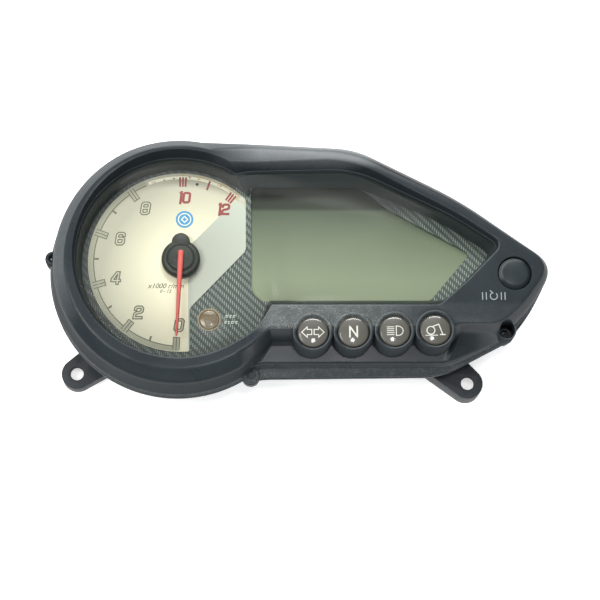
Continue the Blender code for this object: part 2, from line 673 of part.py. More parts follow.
def reset_button():
    x, y = BUTTON
    origin = (x, y, Z_BUTTON_TOP)
    stem = ((0, 21.6), (1.6, 21.6), (1.6, 33.4), (4.1, 34.6), (4.1, 37.2))
    collar = ((9.2, 37.2), (9.2, 38.6), (BUTTON_R, 38.6))
    cap = ((BUTTON_R, 48.7), (BUTTON_R - 0.7, 49.4), (6.1, 50.3), (3.6, 51.0), (0, Z_BUTTON_TOP))
    profile = stem + collar + cap
    button = turned("reset_button", profile, BUTTON, "bezel_black", ROUND, origin=origin)
    parent_at(button, "reset_slide", origin)
    reset_spring()
    plate("reset_switch", box_outline(x, y, 3.0, 3.0), Z_BOARD_TOP + GAP, 19.4, "mask_black")
    low = 19.2
    plunger = turned("reset_plunger", ((0, low), (1.7, low), (1.7, 21.2), (0, 21.2)), BUTTON, "nylon", 16,
                     origin=(x, y, low))
    parent_at(plunger, "plunger_slide", (x, y, low))
    shape(bpy.data.objects["reset_switch"], "DIFFERENCE",
          plate("plunger_well", circle(x, y, 2.0, 16), 17.4, 25.0, "steel"))


def reset_spring():
    """The coil spring that lifts the button: a square-sectioned wire wound from the board to the collar."""
    x, y = BUTTON
    coil_points = []
    turns, steps, sides = 5, 10, 4
    low, high, radius, wire = 16.4, 36.4, 5.0, 0.4
    count = turns * steps
    faces = []
    for k in range(count + 1):
        angle = 2 * math.pi * k / steps
        out = Vector((math.cos(angle), math.sin(angle), 0))
        centre = Vector((x, y, low + (high - low) * k / count)) + out * radius
        for s in range(sides):
            turn = 2 * math.pi * s / sides
            coil_points.append(centre + out * wire * math.cos(turn) + Vector((0, 0, wire * math.sin(turn))))
    for k in range(count):
        for s in range(sides):
            after = (s + 1) % sides
            faces.append((k * sides + s, k * sides + after, (k + 1) * sides + after, (k + 1) * sides + s))
    faces.append(tuple(range(sides)))
    faces.append(tuple(range(count * sides, (count + 1) * sides)))
    add_object("reset_spring", coil_points, faces, "steel")


# Pointer and its motor


def gear_outline(centre, teeth, module, phase):
    """Trapezium teeth that are narrower than their gaps, so that a meshing pair has backlash."""
    x, y = centre
    pitch_r = teeth * module / 2
    tooth = 2 * math.pi / teeth
    points = []
    for k in range(teeth):
        middle = phase + k * tooth
        for radius, part in ((pitch_r - 1.15 * module, -0.27), (pitch_r + 0.85 * module, -0.13),
                             (pitch_r + 0.85 * module, 0.13), (pitch_r - 1.15 * module, 0.27)):
            angle = middle + part * tooth
            points.append((x + radius * math.cos(angle), y + radius * math.sin(angle)))
    return points


def motor():
    """A geared stepping motor on the board: rotor, layshaft and the output gear that carries the pointer."""
    x, y = PIVOT
    low = Z_BOARD_TOP + GAP
    case = box_outline(x + 4.0, y + 0.5, 17.5, 17.5)
    base = plate("motor_base", case, low, 23.6, "white_plastic")
    cavity = plate("motor_cavity", offset_polygon(case, -1.4), low + 1.2, 30.0, "steel")
    shape(base, "DIFFERENCE", cavity)
    cover = plate("motor_cover", case, 23.9, 25.3, "white_plastic")
    cut_hole(cover, "shaft", PIVOT, 1.2, 20.0, 30.0, 12)
    cut_hole(cover, "layshaft", LAYSHAFT, 0.75, 20.0, 24.8, 10)
    cut_hole(cover, "rotor", ROTOR, 0.75, 20.0, 24.8, 10)
    for name, centre in (("output", PIVOT), ("layshaft", LAYSHAFT), ("rotor", ROTOR)):
        cut_hole(base, name, centre, 0.75, 16.4, 18.0, 10)
    plate("motor_stator", stator_outline(), 17.5, 18.3, "steel")
    for name, dx in (("left", -6.5), ("right", 6.5)):
        coil = box_outline(x + dx, y - 12.4, 4.2, 2.4)
        plate(f"motor_coil_{name}", coil, 18.7, 22.8, "copper")

    teeth = gear_outline(PIVOT, OUTPUT_TEETH, GEAR_MODULE, 0.0)
    output = plate("output_gear", teeth, 20.9, 22.3, "nylon", origin=(x, y, 20.9))
    profile = ((0, 16.7), (0.5, 16.7), (0.5, 19.9), (SHAFT_R, 19.9), (SHAFT_R, 38.6), (0, 38.6))
    shaft = turned("output_shaft_part", profile, PIVOT, "steel", 12)
    shape(output, "UNION", shaft)
    parent_at(output, "needle_axis", (x, y, 20.9))

    lay_phase = math.pi + math.pi / PINION_TEETH
    teeth = gear_outline(LAYSHAFT, LAYSHAFT_TEETH, GEAR_MODULE, math.pi / 2)
    lay = plate("layshaft_gear", teeth, 18.9, 19.9, "nylon", origin=(*LAYSHAFT, 18.9))
    teeth = gear_outline(LAYSHAFT, PINION_TEETH, GEAR_MODULE, lay_phase)
    pinion = plate("layshaft_pinion", teeth, 19.4, 22.6, "nylon")
    pin_profile = ((0, 16.7), (0.5, 16.7), (0.5, 24.3), (0, 24.3))
    pin = turned("layshaft_pin", pin_profile, LAYSHAFT, "steel", 10)
    shape(lay, "UNION", pinion)
    shape(lay, "UNION", pin)
    parent_at(lay, "layshaft_axis", (*LAYSHAFT, 18.9))

    rotor_phase = -math.pi / 2 + math.pi / PINION_TEETH
    profile = ((0, 20.5), (3.4, 20.5), (3.4, 23.2), (0, 23.2))
    rotor = turned("motor_rotor", profile, ROTOR, "magnet", 20, origin=(*ROTOR, 20.5))
    teeth = gear_outline(ROTOR, PINION_TEETH, GEAR_MODULE, rotor_phase)
    rotor_pinion = plate("rotor_pinion", teeth, 18.7, 20.8, "magnet")
    rotor_pin = turned("rotor_pin", pin_profile, ROTOR, "steel", 10)
    shape(rotor, "UNION", rotor_pinion)
    shape(rotor, "UNION", rotor_pin)
    parent_at(rotor, "rotor_axis", (*ROTOR, 20.5))


def stator_outline():
    """The flat iron core under the coils: a bar with two legs."""
    x, y = PIVOT
    corners = (
        (-11.0, -15.0), (14.0, -15.0), (14.0, -10.0), (3.0, -10.0),
        (3.0, -6.0), (-2.0, -6.0), (-2.0, -10.0), (-11.0, -10.0),
    )
    return [(x + dx, y + dy) for dx, dy in corners]


def pointer():
    x, y = PIVOT
    profile = ((0, 39.0), (1.4, 39.0), (1.4, 37.2), (HUB_R - 0.4, 37.2), (HUB_R, 37.8), (HUB_R, 40.2),
               (HUB_R - 0.9, 41.2), (6.6, 41.4), (6.2, 42.5), (0, 42.5))
    hub = turned("pointer_hub", profile, PIVOT, "hub_black", 28, origin=(x, y, 37.2))
    tail = [(x - 3.9, y + 3.0), (x + 3.9, y + 3.0), (x + 4.2, y + 8.6)]
    for step in range(9):
        angle = math.radians(20 * step + 10)
        tail.append((x + 4.2 * math.cos(angle), y + 8.6 + 3.6 * math.sin(angle)))
    tail.append((x - 4.2, y + 8.6))
    shape(hub, "UNION", plate("hub_tail", tail, 38.0, 41.6, "hub_black"))
    parent_at(hub, "needle_axis", (x, y, 20.9))
    root, tip = NEEDLE_ROOT_WIDTH / 2, NEEDLE_TIP_WIDTH / 2
    end = y - NEEDLE_LENGTH
    needle = [(x - root, y + 3.2), (x - tip, end + 0.6), (x - tip * 0.4, end), (x + tip * 0.4, end),
              (x + tip, end + 0.6), (x + root, y + 3.2)]
    blade = plate("pointer_needle", spun(needle, PIVOT, NEEDLE_REST), 42.8, 44.2, "needle_red",
                  origin=(x, y, 42.8))
    parent_at(blade, "needle_axis", (x, y, 20.9))


def build():
    clear_scene()
    front_bezel()
    clear_lens()
    inner_mask()
    trim_plate()
    tacho_dial()
    pointer()
    motor()
    display()
    light_chamber()
    main_board()
    lamps()
    reset_button()
    connector()
    vent()
    case_gasket()
    rear_case()
    case_screws()
    board_screws()


build()
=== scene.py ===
"""Looks of the motorcycle instrument cluster: detailed pieces, procedural materials, light and camera."""

import json
import math

import bmesh
import bpy
from mathutils import Matrix, Vector


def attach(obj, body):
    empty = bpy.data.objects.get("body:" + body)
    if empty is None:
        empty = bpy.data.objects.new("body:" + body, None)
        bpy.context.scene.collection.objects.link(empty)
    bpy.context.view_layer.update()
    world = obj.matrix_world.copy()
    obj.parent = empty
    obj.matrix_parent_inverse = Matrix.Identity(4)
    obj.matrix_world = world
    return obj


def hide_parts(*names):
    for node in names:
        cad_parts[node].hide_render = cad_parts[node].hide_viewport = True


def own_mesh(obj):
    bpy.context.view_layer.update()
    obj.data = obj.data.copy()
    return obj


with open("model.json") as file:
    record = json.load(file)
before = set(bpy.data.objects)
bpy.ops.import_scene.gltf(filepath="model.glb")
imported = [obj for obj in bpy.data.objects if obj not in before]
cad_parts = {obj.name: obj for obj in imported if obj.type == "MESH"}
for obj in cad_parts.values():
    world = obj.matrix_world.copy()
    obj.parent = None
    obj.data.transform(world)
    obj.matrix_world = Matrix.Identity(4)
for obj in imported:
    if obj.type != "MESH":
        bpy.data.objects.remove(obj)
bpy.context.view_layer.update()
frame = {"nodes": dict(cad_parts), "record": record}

MM = 0.001

# Heights above the case's back, in millimetres.
Z_SEAM = 28.8
Z_DISPLAY = (32.5, 34.1)
Z_TRIM = (34.4, 35.4)
Z_DIAL = (35.7, 36.1)
Z_MASK_FOOT = 36.4
Z_MASK_TOP = 44.5
Z_LENS = (44.9, 46.7)
Z_WALL_FOOT = 47.0
Z_SHELF = 49.9

# Places and sizes across the frame, in millimetres.
PIVOT = (-54.5, 3.9)
DIAL_CENTRE = (-54.7, 3.4)
DIAL_R = 44.8
BUTTON = (105.9, -6.0)
BUTTON_R = 7.8
BUTTON_BORE_R = 8.3
LAMPS = {"turn": (8.6, -35.2), "neutral": (27.9, -35.0), "high_beam": (47.5, -34.6),
         "side_stand": (66.9, -34.0)}
LENS_R = 7.3
RPM_LAMP = (-40.7, -25.5)
# Each lug: its hole, the height of its front, and the middle of its root under the tray.
LUGS = {"left": (-106.0, -46.4, 9.0, -88.0, -34.0), "right": (86.2, -52.4, 13.0, 70.0, -38.0)}
LUG_R = 7.6
LUG_BORE_R = 3.2
LUG_RELIEF_R = 5.6
LUG_WEB = 3.0
TOP_BOSS = (-5.0, 40.0)
# Each case screw: its place and the radius of its lobe.
CASE_SCREWS = ((-116.9, 6.0, 4.0), (-20.6, -51.8, 4.4), (102.5, -32.1, 4.0), (-82.3, 53.6, 4.4),
               (-12.0, 58.6, 4.4), (72.5, 35.0, 4.4))
LOBE_SLACK = 0.12
WELL_R = 3.9
CONNECTOR = (-2.0, -6.0)
VENT = (45.0, 10.0)
BEZEL_WALL = 2.0
MASK_WALL = 1.4
MASK_FOOT = 3.4
PANE_EDGE = 1.9
SEAL_EDGE = 2.3
PANEL_EDGE = 1.1
DIAL_LAMP_HOLE_R = 5.1
SHAFT_HOLE_R = 3.0

# The scale, in degrees: where the needle rests, and the turn for each 1000 revolutions per minute.
NEEDLE_REST = 2.5
SCALE_STEP = 17.875

# Fineness of the shapes.
RING_STEPS = 120
CORNER_STEPS = 8
STRAIGHT_STEPS = 5
ROUND_STEPS = 96
SHARP = 32.0
SHARP_SHELL = 50.0


def level(height, *corners):
    """Corners that lie at one height, from (x, y, cut)."""
    return tuple((x, y, height, cut) for x, y, cut in corners)


# Outlines, counter-clockwise: ring = centre x, y, radius, height, hood lift, start and end angle;
# corner = x, y, height, length by which it is cut back on both sides.
WINDOW_FOOT = {
    "ring": (-55.2, 2.5, 47.3, Z_MASK_FOOT, 0.0, 46.0, 300.0),
    "corners": level(Z_MASK_FOOT, (-17.9, -32.3, 11.5), (-11.8, -16.2, 0.8), (60.0, -16.2, 1.5),
                     (65.0, -16.2, 1.5), (73.8, -16.2, 4.0), (84.0, -6.0, 2.0), (96.5, 7.2, 5.0),
                     (70.0, 24.6, 14.0), (33.0, 40.8, 9.0), (-19.5, 40.9, 1.5)),
}
CREASE = {
    "ring": (-55.0, 4.0, 51.0, 50.0, 3.5, 62.0, 300.0),
    "corners": ((-18.0, -33.5, 50.0, 12.6), (-10.8, -21.5, 50.0, 0.8), (60.0, -21.5, 50.0, 1.5),
                (64.0, -21.5, 50.0, 1.0), (69.5, -21.5, 50.0, 4.0), (84.0, -8.4, 50.0, 2.0),
                (100.8, 8.8, 50.3, 5.5), (80.0, 23.5, 50.6, 14.0), (27.0, 50.9, 52.8, 14.0),
                (-20.0, 48.8, 52.9, 6.0)),
}
FACE_EDGE = {
    "ring": (-55.1, 2.0, 54.8, 50.0, 3.5, 75.0, 300.0),
    "corners": ((-19.5, -40.8, 50.0, 9.0), (-11.8, -32.5, 50.0, 0.8), (75.5, -32.5, 50.0, 1.0),
                (79.0, -30.6, 50.0, 1.0), (98.5, -30.6, 50.0, 7.0), (109.0, -21.0, 50.0, 6.0),
                (123.6, -1.2, 50.0, 10.5), (78.8, 29.9, 50.4, 14.0), (29.3, 54.6, 52.0, 12.0),
                (-20.0, 56.4, 52.4, 10.0)),
}
OUTER_CREST = {
    "ring": (-55.2, 1.0, 60.0, 46.5, 3.0, 80.0, 300.0),
    "corners": ((-15.6, -42.9, 36.0, 6.8), (-10.4, -37.2, 36.0, 0.8), (76.0, -37.2, 36.0, 1.0),
                (80.0, -33.2, 42.0, 1.0), (102.5, -33.2, 42.0, 8.0), (114.6, -21.0, 43.0, 6.0),
                (126.3, -1.2, 46.0, 11.0), (80.0, 31.8, 47.3, 14.0), (30.0, 57.0, 48.5, 9.0),
                (-20.0, 59.3, 49.4, 10.0)),
}
WALL_FOOT = {
    "ring": (-55.9, -0.1, 61.5, 32.0, 0.0, 82.0, 300.0),
    "corners": ((-20.0, -48.2, 35.5, 3.0), (-15.0, -46.8, 35.5, 1.5), (72.0, -46.8, 35.5, 1.5),
                (78.0, -45.0, 35.0, 2.0), (103.5, -33.9, 31.8, 5.0), (115.0, -21.0, 31.8, 6.0),
                (126.0, -1.2, 31.8, 11.0), (80.4, 32.4, 31.8, 14.0), (30.2, 57.7, 31.8, 9.0),
                (-20.0, 60.2, 31.8, 10.0)),
}
FLANGE_STEP = {
    "ring": (-55.9, -0.1, 61.9, 31.2, 0.0, 82.0, 300.0),
    "corners": ((-21.0, -50.4, 31.4, 3.0), (-15.0, -48.6, 31.4, 1.5), (72.0, -48.6, 31.4, 1.5),
                (78.4, -46.8, 31.4, 2.0), (104.2, -34.4, 31.2, 5.0), (115.3, -21.0, 31.2, 6.0),
                (126.2, -1.2, 31.2, 11.0), (80.6, 32.8, 31.2, 14.0), (30.3, 58.1, 31.2, 9.0),
                (-20.0, 60.7, 31.2, 10.0)),
}
FLANGE_EDGE = {
    "ring": (-55.9, -0.1, 62.28, 30.8, 0.0, 82.0, 300.0),
    "corners": ((-20.6, -54.2, 30.8, 3.0), (-14.0, -53.2, 30.8, 3.0), (66.0, -52.4, 30.8, 3.0),
                (76.0, -50.0, 30.8, 4.0), (105.0, -34.9, 30.8, 5.0), (115.8, -21.0, 30.8, 6.0),
                (126.36, -1.2, 30.8, 11.0), (81.0, 33.4, 30.8, 14.0), (30.5, 58.7, 30.8, 9.0),
                (-20.0, 61.4, 30.8, 10.0)),
}
DISPLAY_WINDOW = ((-20.5, 41.6), (-20.5, -11.6), (-15.0, -16.6), (66.0, -16.6), (86.4, 7.6),
                  (45.4, 30.7), (32.7, 41.6))


# Materials


class Field:
    """A value that varies over a surface; arithmetic on it adds the nodes that work it out."""

    def __init__(self, look, socket):
        self.look = look
        self.socket = socket

    def __add__(self, other):
        return self.look.math("ADD", self, other)

    def __sub__(self, other):
        return self.look.math("SUBTRACT", self, other)

    def __rsub__(self, other):
        return self.look.math("SUBTRACT", other, self)

    def __mul__(self, other):
        return self.look.math("MULTIPLY", self, other)

    def __gt__(self, other):
        return self.look.math("GREATER_THAN", self, other)

    def __lt__(self, other):
        return self.look.math("LESS_THAN", self, other)

    def span(self, low, high):
        """The share of the way from one place to another, both in millimetres."""
        return self * (1 / ((high - low) * MM)) - low / (high - low)

    def ramp(self, *stops):
        """The value turned into tones or colours that run through the stops."""
        made = self.look.node("ShaderNodeValToRGB", {"Fac": self})
        elements = made.color_ramp.elements
        while len(elements) < len(stops):
            elements.new(0.5)
        for element, (position, colour) in zip(elements, stops):
            element.position = position
            if isinstance(colour, (int, float)):
                colour = (colour, colour, colour)
            element.color = (*colour, 1.0)
        return Field(self.look, made.outputs["Color"])


class Look:
    """One material, with short calls that build its nodes."""

    def __init__(self, name):
        self.material = bpy.data.materials.new(name)
        self.material.use_nodes = True
        self.tree = self.material.node_tree
        self.shader = self.tree.nodes["Principled BSDF"]
        self.place = self.node("ShaderNodeTexCoord").outputs["Object"]

    def fill(self, node, inputs):
        """Links or sets the inputs of a node."""
        for key, value in inputs.items():
            socket = node.inputs[key]
            if isinstance(value, Field):
                value = value.socket
            if isinstance(value, bpy.types.NodeSocket):
                self.tree.links.new(value, socket)
            elif socket.type == "RGBA":
                socket.default_value = (*value, 1.0)
            else:
                socket.default_value = value

    def node(self, kind, inputs=None, **settings):
        made = self.tree.nodes.new(kind)
        for key, value in settings.items():
            setattr(made, key, value)
        self.fill(made, inputs or {})
        return made

    def math(self, operation, a, b=0.0):
        return Field(self, self.node("ShaderNodeMath", {0: a, 1: b}, operation=operation).outputs[0])

    def reach(self, a, b):
        """The length of the line with two sides at a right angle."""
        return self.math("SQRT", a * a + b * b)

    def axes(self, vector):
        return (Field(self, socket) for socket in self.node("ShaderNodeSeparateXYZ", {0: vector}).outputs)

    def noise(self, scale, detail=3.0, roughness=0.6, stretch=None):
        vector = self.place
        if stretch:
            vector = self.node("ShaderNodeMapping", {"Vector": vector, "Scale": stretch}).outputs[0]
        inputs = {"Vector": vector, "Scale": scale, "Detail": detail, "Roughness": roughness}
        return Field(self, self.node("ShaderNodeTexNoise", inputs).outputs["Fac"])

    def mix(self, factor, a, b):
        return self.node("ShaderNodeMix", {0: factor, 6: a, 7: b}, data_type="RGBA").outputs[2]

    def bump(self, height, strength, distance, before=None):
        inputs = {"Height": height, "Strength": strength, "Distance": distance}
        if before:
            inputs["Normal"] = before
        return self.node("ShaderNodeBump", inputs).outputs["Normal"]

    def grain(self, scale, strength, depth):
        """Fine grain over the shallow waves of a moulding."""
        fine = self.bump(self.noise(scale, 2.0, 0.5), strength, depth)
        return self.bump(self.noise(30.0, 2.0, 0.4), 0.25, 0.00025, fine)

    def set(self, **values):
        """Sets the shader's inputs and gives the finished material."""
        self.fill(self.shader, {key.replace("_", " "): value for key, value in values.items()})
        return self.material


def moulded(name, colour, light, roughness, grain=2200.0, grain_depth=0.000012, dust=0.25):
    """Moulded plastic: fine grain, blotches of handling and a little dust that lightens it."""
    n = Look(name)
    patches = n.noise(38.0, 4.0, 0.65)
    specks = n.noise(900.0, 2.0, 0.7)
    scuffs = n.noise(140.0, 6.0, 0.75, (1.0, 2.6, 1.0))
    base = n.mix(patches.ramp((0.35, 0.0), (0.7, 0.35)), colour, light)
    base = n.mix(specks.ramp((0.62, 0.0), (0.78, 1.0)) * (dust * 0.6), base, light)
    base = n.mix(scuffs.ramp((0.52, 0.0), (0.75, 1.0)) * dust, base, light)
    rough = patches * 0.16 + (roughness - 0.08) + specks * 0.06
    normal = n.grain(grain, 0.6, grain_depth)
    return n.set(Base_Color=base, Roughness=rough, Normal=normal, Specular_IOR_Level=0.25)


def bezel_plastic():
    """Satin black moulding, with a film of pale dust on the shelf under the display and the lower flange, and
    painted highlights on the hood's brow and the ring's chamfer.
    """
    n = Look("bezel_black_look")
    x, y, z = n.axes(n.place)
    shelf = y.span(-35, -10).ramp((0.0, 0.0), (0.12, 1.0), (0.52, 1.0), (0.62, 0.0)) * (z > 48.5 * MM)
    shelf = shelf * x.span(-30, 70).ramp((0.06, 0.0), (0.2, 1.0), (0.62, 0.75), (0.95, 0.1))
    ledge = (z < 33 * MM) * (y < -30 * MM)
    where = n.math("MAXIMUM", shelf, ledge * 0.30)
    dust_and_highlight_clumps = n.noise(330.0, 5.0, 0.7)
    specks = n.noise(2400.0, 3.0, 0.75).ramp((0.50, 0.0), (0.66, 1.0))
    specks = specks * dust_and_highlight_clumps.ramp((0.40, 0.15), (0.60, 1.0))
    patches = n.noise(38.0, 4.0, 0.65)
    base = n.mix(patches.ramp((0.35, 0.0), (0.7, 0.4)), (0.0165, 0.0215, 0.0255), (0.030, 0.038, 0.042))
    base = n.mix(n.noise(900.0, 2.0, 0.7).ramp((0.66, 0.0), (0.80, 0.12)), base, (0.20, 0.22, 0.22))
    dust = where * (specks * 0.75 + 0.12)
    base = n.mix(dust, base, (0.42, 0.45, 0.43))
    # Painted highlights: the hood's brow and the chamfer round the back and left of the ring are made paler
    # where they face the light.
    lean_x, lean_y, up = n.axes(n.node("ShaderNodeNewGeometry").outputs["Normal"])
    painted_chamfer_highlight = up.ramp((0.55, 0.0), (0.72, 1.0), (0.90, 1.0), (0.97, 0.0))
    painted_chamfer_highlight = painted_chamfer_highlight * (lean_y - lean_x * 0.8).ramp((0.05, 0.0), (0.40, 0.26))
    painted_brow_highlight = y.span(0, 100).ramp((0.46, 0.0), (0.51, 0.42), (0.56, 0.50), (0.61, 0.22))
    painted_brow_highlight = painted_brow_highlight * x.span(-80, 120).ramp((0.20, 0.0), (0.32, 1.0), (0.56, 1.0), (0.78, 0.0))
    painted_highlight = n.math("MAXIMUM", painted_chamfer_highlight, painted_brow_highlight) * (dust_and_highlight_clumps * 0.5 + 0.75) * (z > 40 * MM)
    base = n.mix(painted_highlight, base, (0.235, 0.250, 0.258))
    steep = up.ramp((0.12, 1.0), (0.50, 0.0))
    rough = n.math("MAXIMUM", patches * 0.12 + 0.22, steep * 0.95) + dust * 0.4
    normal = n.grain(2200.0, 0.4, 0.00001)
    return n.set(Base_Color=base, Roughness=rough, Normal=normal, Specular_IOR_Level=0.14)


def plain(name, colour, roughness, spread=0.15, depth=0.00001):
    """A surface whose colour and gloss vary a little over it."""
    n = Look(name)
    cloud = n.noise(180.0, 4.0, 0.6)
    dark = tuple(max(0.0, c * (1 - spread)) for c in colour)
    light = tuple(min(1.0, c * (1 + spread)) for c in colour)
    normal = n.bump(n.noise(1620.0, 2.0, 0.5), 0.4, depth)
    rough = cloud * 0.12 + (roughness - 0.06)
    return n.set(Base_Color=n.mix(cloud, dark, light), Roughness=rough, Normal=normal)


def brushed(name, colour, roughness):
    """Bare metal with fine lines along it."""
    n = Look(name)
    lines = n.noise(260.0, 5.0, 0.7, (1.0, 14.0, 1.0))
    tone = n.mix(lines, tuple(c * 0.8 for c in colour), colour)
    return n.set(Base_Color=tone, Roughness=lines * 0.2 + (roughness - 0.1), Metallic=1.0,
                 Normal=n.bump(lines, 0.3, 0.00001))


def carbon():
    """Printed twill weave of 1 mm cells: tows over two and under two, each with a light middle."""
    n = Look("carbon_print_look")
    x, y, _ = n.axes(n.place)
    u, v = (n.math("DIVIDE", side, 1.0 * MM) for side in (x, y))
    diagonal = n.math("FLOOR", u) + n.math("FLOOR", v)
    over = n.math("FLOORED_MODULO", diagonal, 4.0) < 2.0
    warp, weft = (1.0 - n.math("ABSOLUTE", n.math("FRACT", side) - 0.5) * 2.0 for side in (u, v))
    tow = over * warp + (1.0 - over) * (weft * 0.35)
    fibres = n.noise(2600.0, 2.0, 0.6, (3.0, 0.6, 1.0))
    tow = tow * (fibres + 0.5)
    colour = tow.ramp((0.0, (0.032, 0.039, 0.036)), (0.35, (0.080, 0.100, 0.090)), (0.9, (0.31, 0.37, 0.34)))
    # Painted shade: the print is darker on the left and upper sides, close under the wall round the dial and
    # the hood.
    dx, dy = x - DIAL_CENTRE[0] * MM, y - DIAL_CENTRE[1] * MM
    rim = (n.reach(dx, dy) > (DIAL_R - 0.6) * MM) * (dx < 27 * MM)
    shade = rim * ((dy - dx * 0.9) * 7.0 + 0.55).ramp((0.0, 0.35), (1.0, 0.80))
    painted_hood_shade = y.span(0, 50).ramp((0.46, 0.0), (0.66, 0.92)) * (x > -10 * MM)
    colour = n.mix(n.math("MAXIMUM", shade, painted_hood_shade), colour, (0.026, 0.032, 0.033))
    return n.set(Base_Color=colour, Roughness=0.38, Normal=n.bump(tow, 0.5, 0.00008))


def dial_face():
    """Cream silver print with painted shade, lighter and warmer near the hub, with a grey wedge on its lower
    right side.
    """
    n = Look("dial_silver_look")
    x, y, _ = n.axes(n.place)
    dx, dy = x - PIVOT[0] * MM, y - PIVOT[1] * MM
    reach = n.reach(dx, dy) * (1 / (DIAL_R * MM))
    # Painted shade deepens towards the upper left.
    side = (dy - dx * 1.3) * 4.2 + 0.38 + (reach - 0.45) * 0.55
    cream = side.ramp((0.05, (0.96, 0.900, 0.690)), (0.36, (0.82, 0.765, 0.580)),
                      (0.80, (0.43, 0.410, 0.325)))
    flake = n.noise(2600.0, 2.0, 0.7)
    cream = n.mix(flake.ramp((0.45, 0.0), (0.8, 0.16)), cream, (0.75, 0.74, 0.66))
    # Wedge: right of the vertical below the hub and below the diagonal to the upper right corner.
    wedge = (dy - (dx * 1.028 + 3.29 * MM) < 0.0) * (dx > 3.6 * MM)
    grey = n.mix(reach.ramp((0.2, 0.0), (0.9, 1.0)), (0.41, 0.425, 0.37), (0.55, 0.575, 0.505))
    colour = n.mix(wedge, cream, grey)
    # Brown stains on the rim beyond the top of the scale.
    stain = n.noise(210.0, 4.0, 0.7).ramp((0.42, 0.0), (0.62, 0.85))
    stain = stain * (reach > 0.91) * (dx > -2 * MM) * (dy > 26 * MM)
    colour = n.mix(stain, colour, (0.46, 0.33, 0.12))
    normal = n.bump(flake, 0.2, 0.000008)
    return n.set(Base_Color=colour, Roughness=flake * 0.15 + 0.34, Metallic=0.06, Normal=normal)


def ink(name, colour):
    """Screen printed ink; the worn red shows the dial through in patches."""
    n = Look(name)
    thin = n.noise(1500.0, 3.0, 0.6).ramp((0.3, 0.0), (0.9, 0.35))
    tone = n.mix(thin, colour, tuple(min(1.0, c * 1.5 + 0.03) for c in colour))
    if name == "ink_red_worn":
        faded = n.noise(420.0, 5.0, 0.75).ramp((0.355, 0.0), (0.435, 1.0))
        tone = n.mix(faded, tone, (0.84, 0.815, 0.66))
    return n.set(Base_Color=tone, Roughness=0.5)


def liquid_crystal():
    """The unlit display: grey-green, paler towards its lower edge, under gloss; a painted shadow of the hood
    darkens its upper edge.
    """
    n = Look("display_glass_look")
    _, y, _ = n.axes(n.place)
    height = y.span(-16.74, 37.26) + n.noise(16.0, 2.0, 0.5) * 0.16 - 0.08
    colour = height.ramp((0.0, (0.290, 0.330, 0.225)), (0.20, (0.275, 0.315, 0.215)),
                         (0.57, (0.170, 0.200, 0.137)), (0.85, (0.082, 0.100, 0.070)),
                         (1.0, (0.055, 0.067, 0.048)))
    colour = n.mix(n.noise(3200.0, 1.0, 0.5) * 0.04, colour, (0.42, 0.48, 0.36))
    # Painted shadow of the hood across the display's upper edge.
    painted_hood_shadow = y.span(28, 38).ramp((0.12, 0.0), (0.30, 0.80), (1.0, 0.95))
    colour = n.mix(painted_hood_shadow, colour, (0.016, 0.021, 0.015))
    return n.set(Base_Color=colour, Roughness=0.46, Specular_IOR_Level=0.2)


def clear_pane():
    """A clear window: mostly see-through, with gloss that grows towards the edge of sight, and fine dust."""
    n = Look("clear_look")
    n.set(Base_Color=(0.02, 0.02, 0.02), Roughness=0.10, Specular_IOR_Level=0.5)
    glass = n.node("ShaderNodeBsdfTransparent", {"Color": (0.97, 0.98, 0.97)})
    edge = Field(n, n.node("ShaderNodeFresnel", {"IOR": 1.45}).outputs[0])
    share = edge * 0.9 + n.noise(700.0, 4.0, 0.75).ramp((0.6, 0.0), (0.8, 1.0)) * 0.008
    mixed = n.node("ShaderNodeMixShader", {0: share, 1: glass.outputs[0], 2: n.shader.outputs[0]})
    n.fill(n.tree.nodes["Material Output"], {"Surface": mixed.outputs[0]})
    return n.material


def smoked():
    """Smoked lamp lens: deep brown-grey body, a little patchy in tone, under a polished coat."""
    n = Look("lamp_smoke_look")
    colour = n.mix(n.noise(150.0, 3.0, 0.6), (0.046, 0.044, 0.036), (0.068, 0.065, 0.052))
    return n.set(Base_Color=colour, Roughness=0.42, Coat_Weight=0.5, Coat_Roughness=0.07,
                 Specular_IOR_Level=0.3)


PLAIN = {
    "needle_red": ((0.78, 0.135, 0.120), 0.32, 0.06),
    "white_plastic": ((0.78, 0.79, 0.76), 0.45, 0.05),
    "nylon": ((0.74, 0.72, 0.62), 0.42, 0.08),
    "board_green": ((0.02, 0.13, 0.055), 0.35, 0.3),
    "lamp_amber": ((0.20, 0.145, 0.080), 0.20, 0.22),
    "led_clear": ((0.82, 0.82, 0.74), 0.15, 0.05),
    "rubber": ((0.022, 0.022, 0.023), 0.7, 0.3, 0.00003),
    "magnet": ((0.05, 0.05, 0.055), 0.55, 0.3),
}
METALS = {
    "steel": ((0.56, 0.56, 0.55), 0.34),
    "copper": ((0.66, 0.27, 0.13), 0.35),
    "brass": ((0.72, 0.60, 0.36), 0.3),
}
MOULDED = {
    "case_black": ((0.018, 0.022, 0.026), (0.045, 0.050, 0.055), 0.50, 1500.0, 0.00003),
    # Painted light: the mask's black is a lighter copy of the black moulding, so the walls round the window
    # read as lit.
    "mask_black": ((0.050, 0.064, 0.070), (0.080, 0.098, 0.104), 0.40, 2600.0, 0.000012, 0.08),
    "hub_black": ((0.036, 0.040, 0.036), (0.085, 0.090, 0.082), 0.38, 3000.0, 0.000006, 0.06),
}
LOOKS = {"bezel_black": bezel_plastic(), "clear": clear_pane(), "carbon_print": carbon(),
         "dial_silver": dial_face(), "display_glass": liquid_crystal(), "lamp_smoke": smoked()}
for maker, table in ((plain, PLAIN), (brushed, METALS), (moulded, MOULDED)):
    LOOKS.update({slot: maker(f"{slot}_look", *values) for slot, values in table.items()})
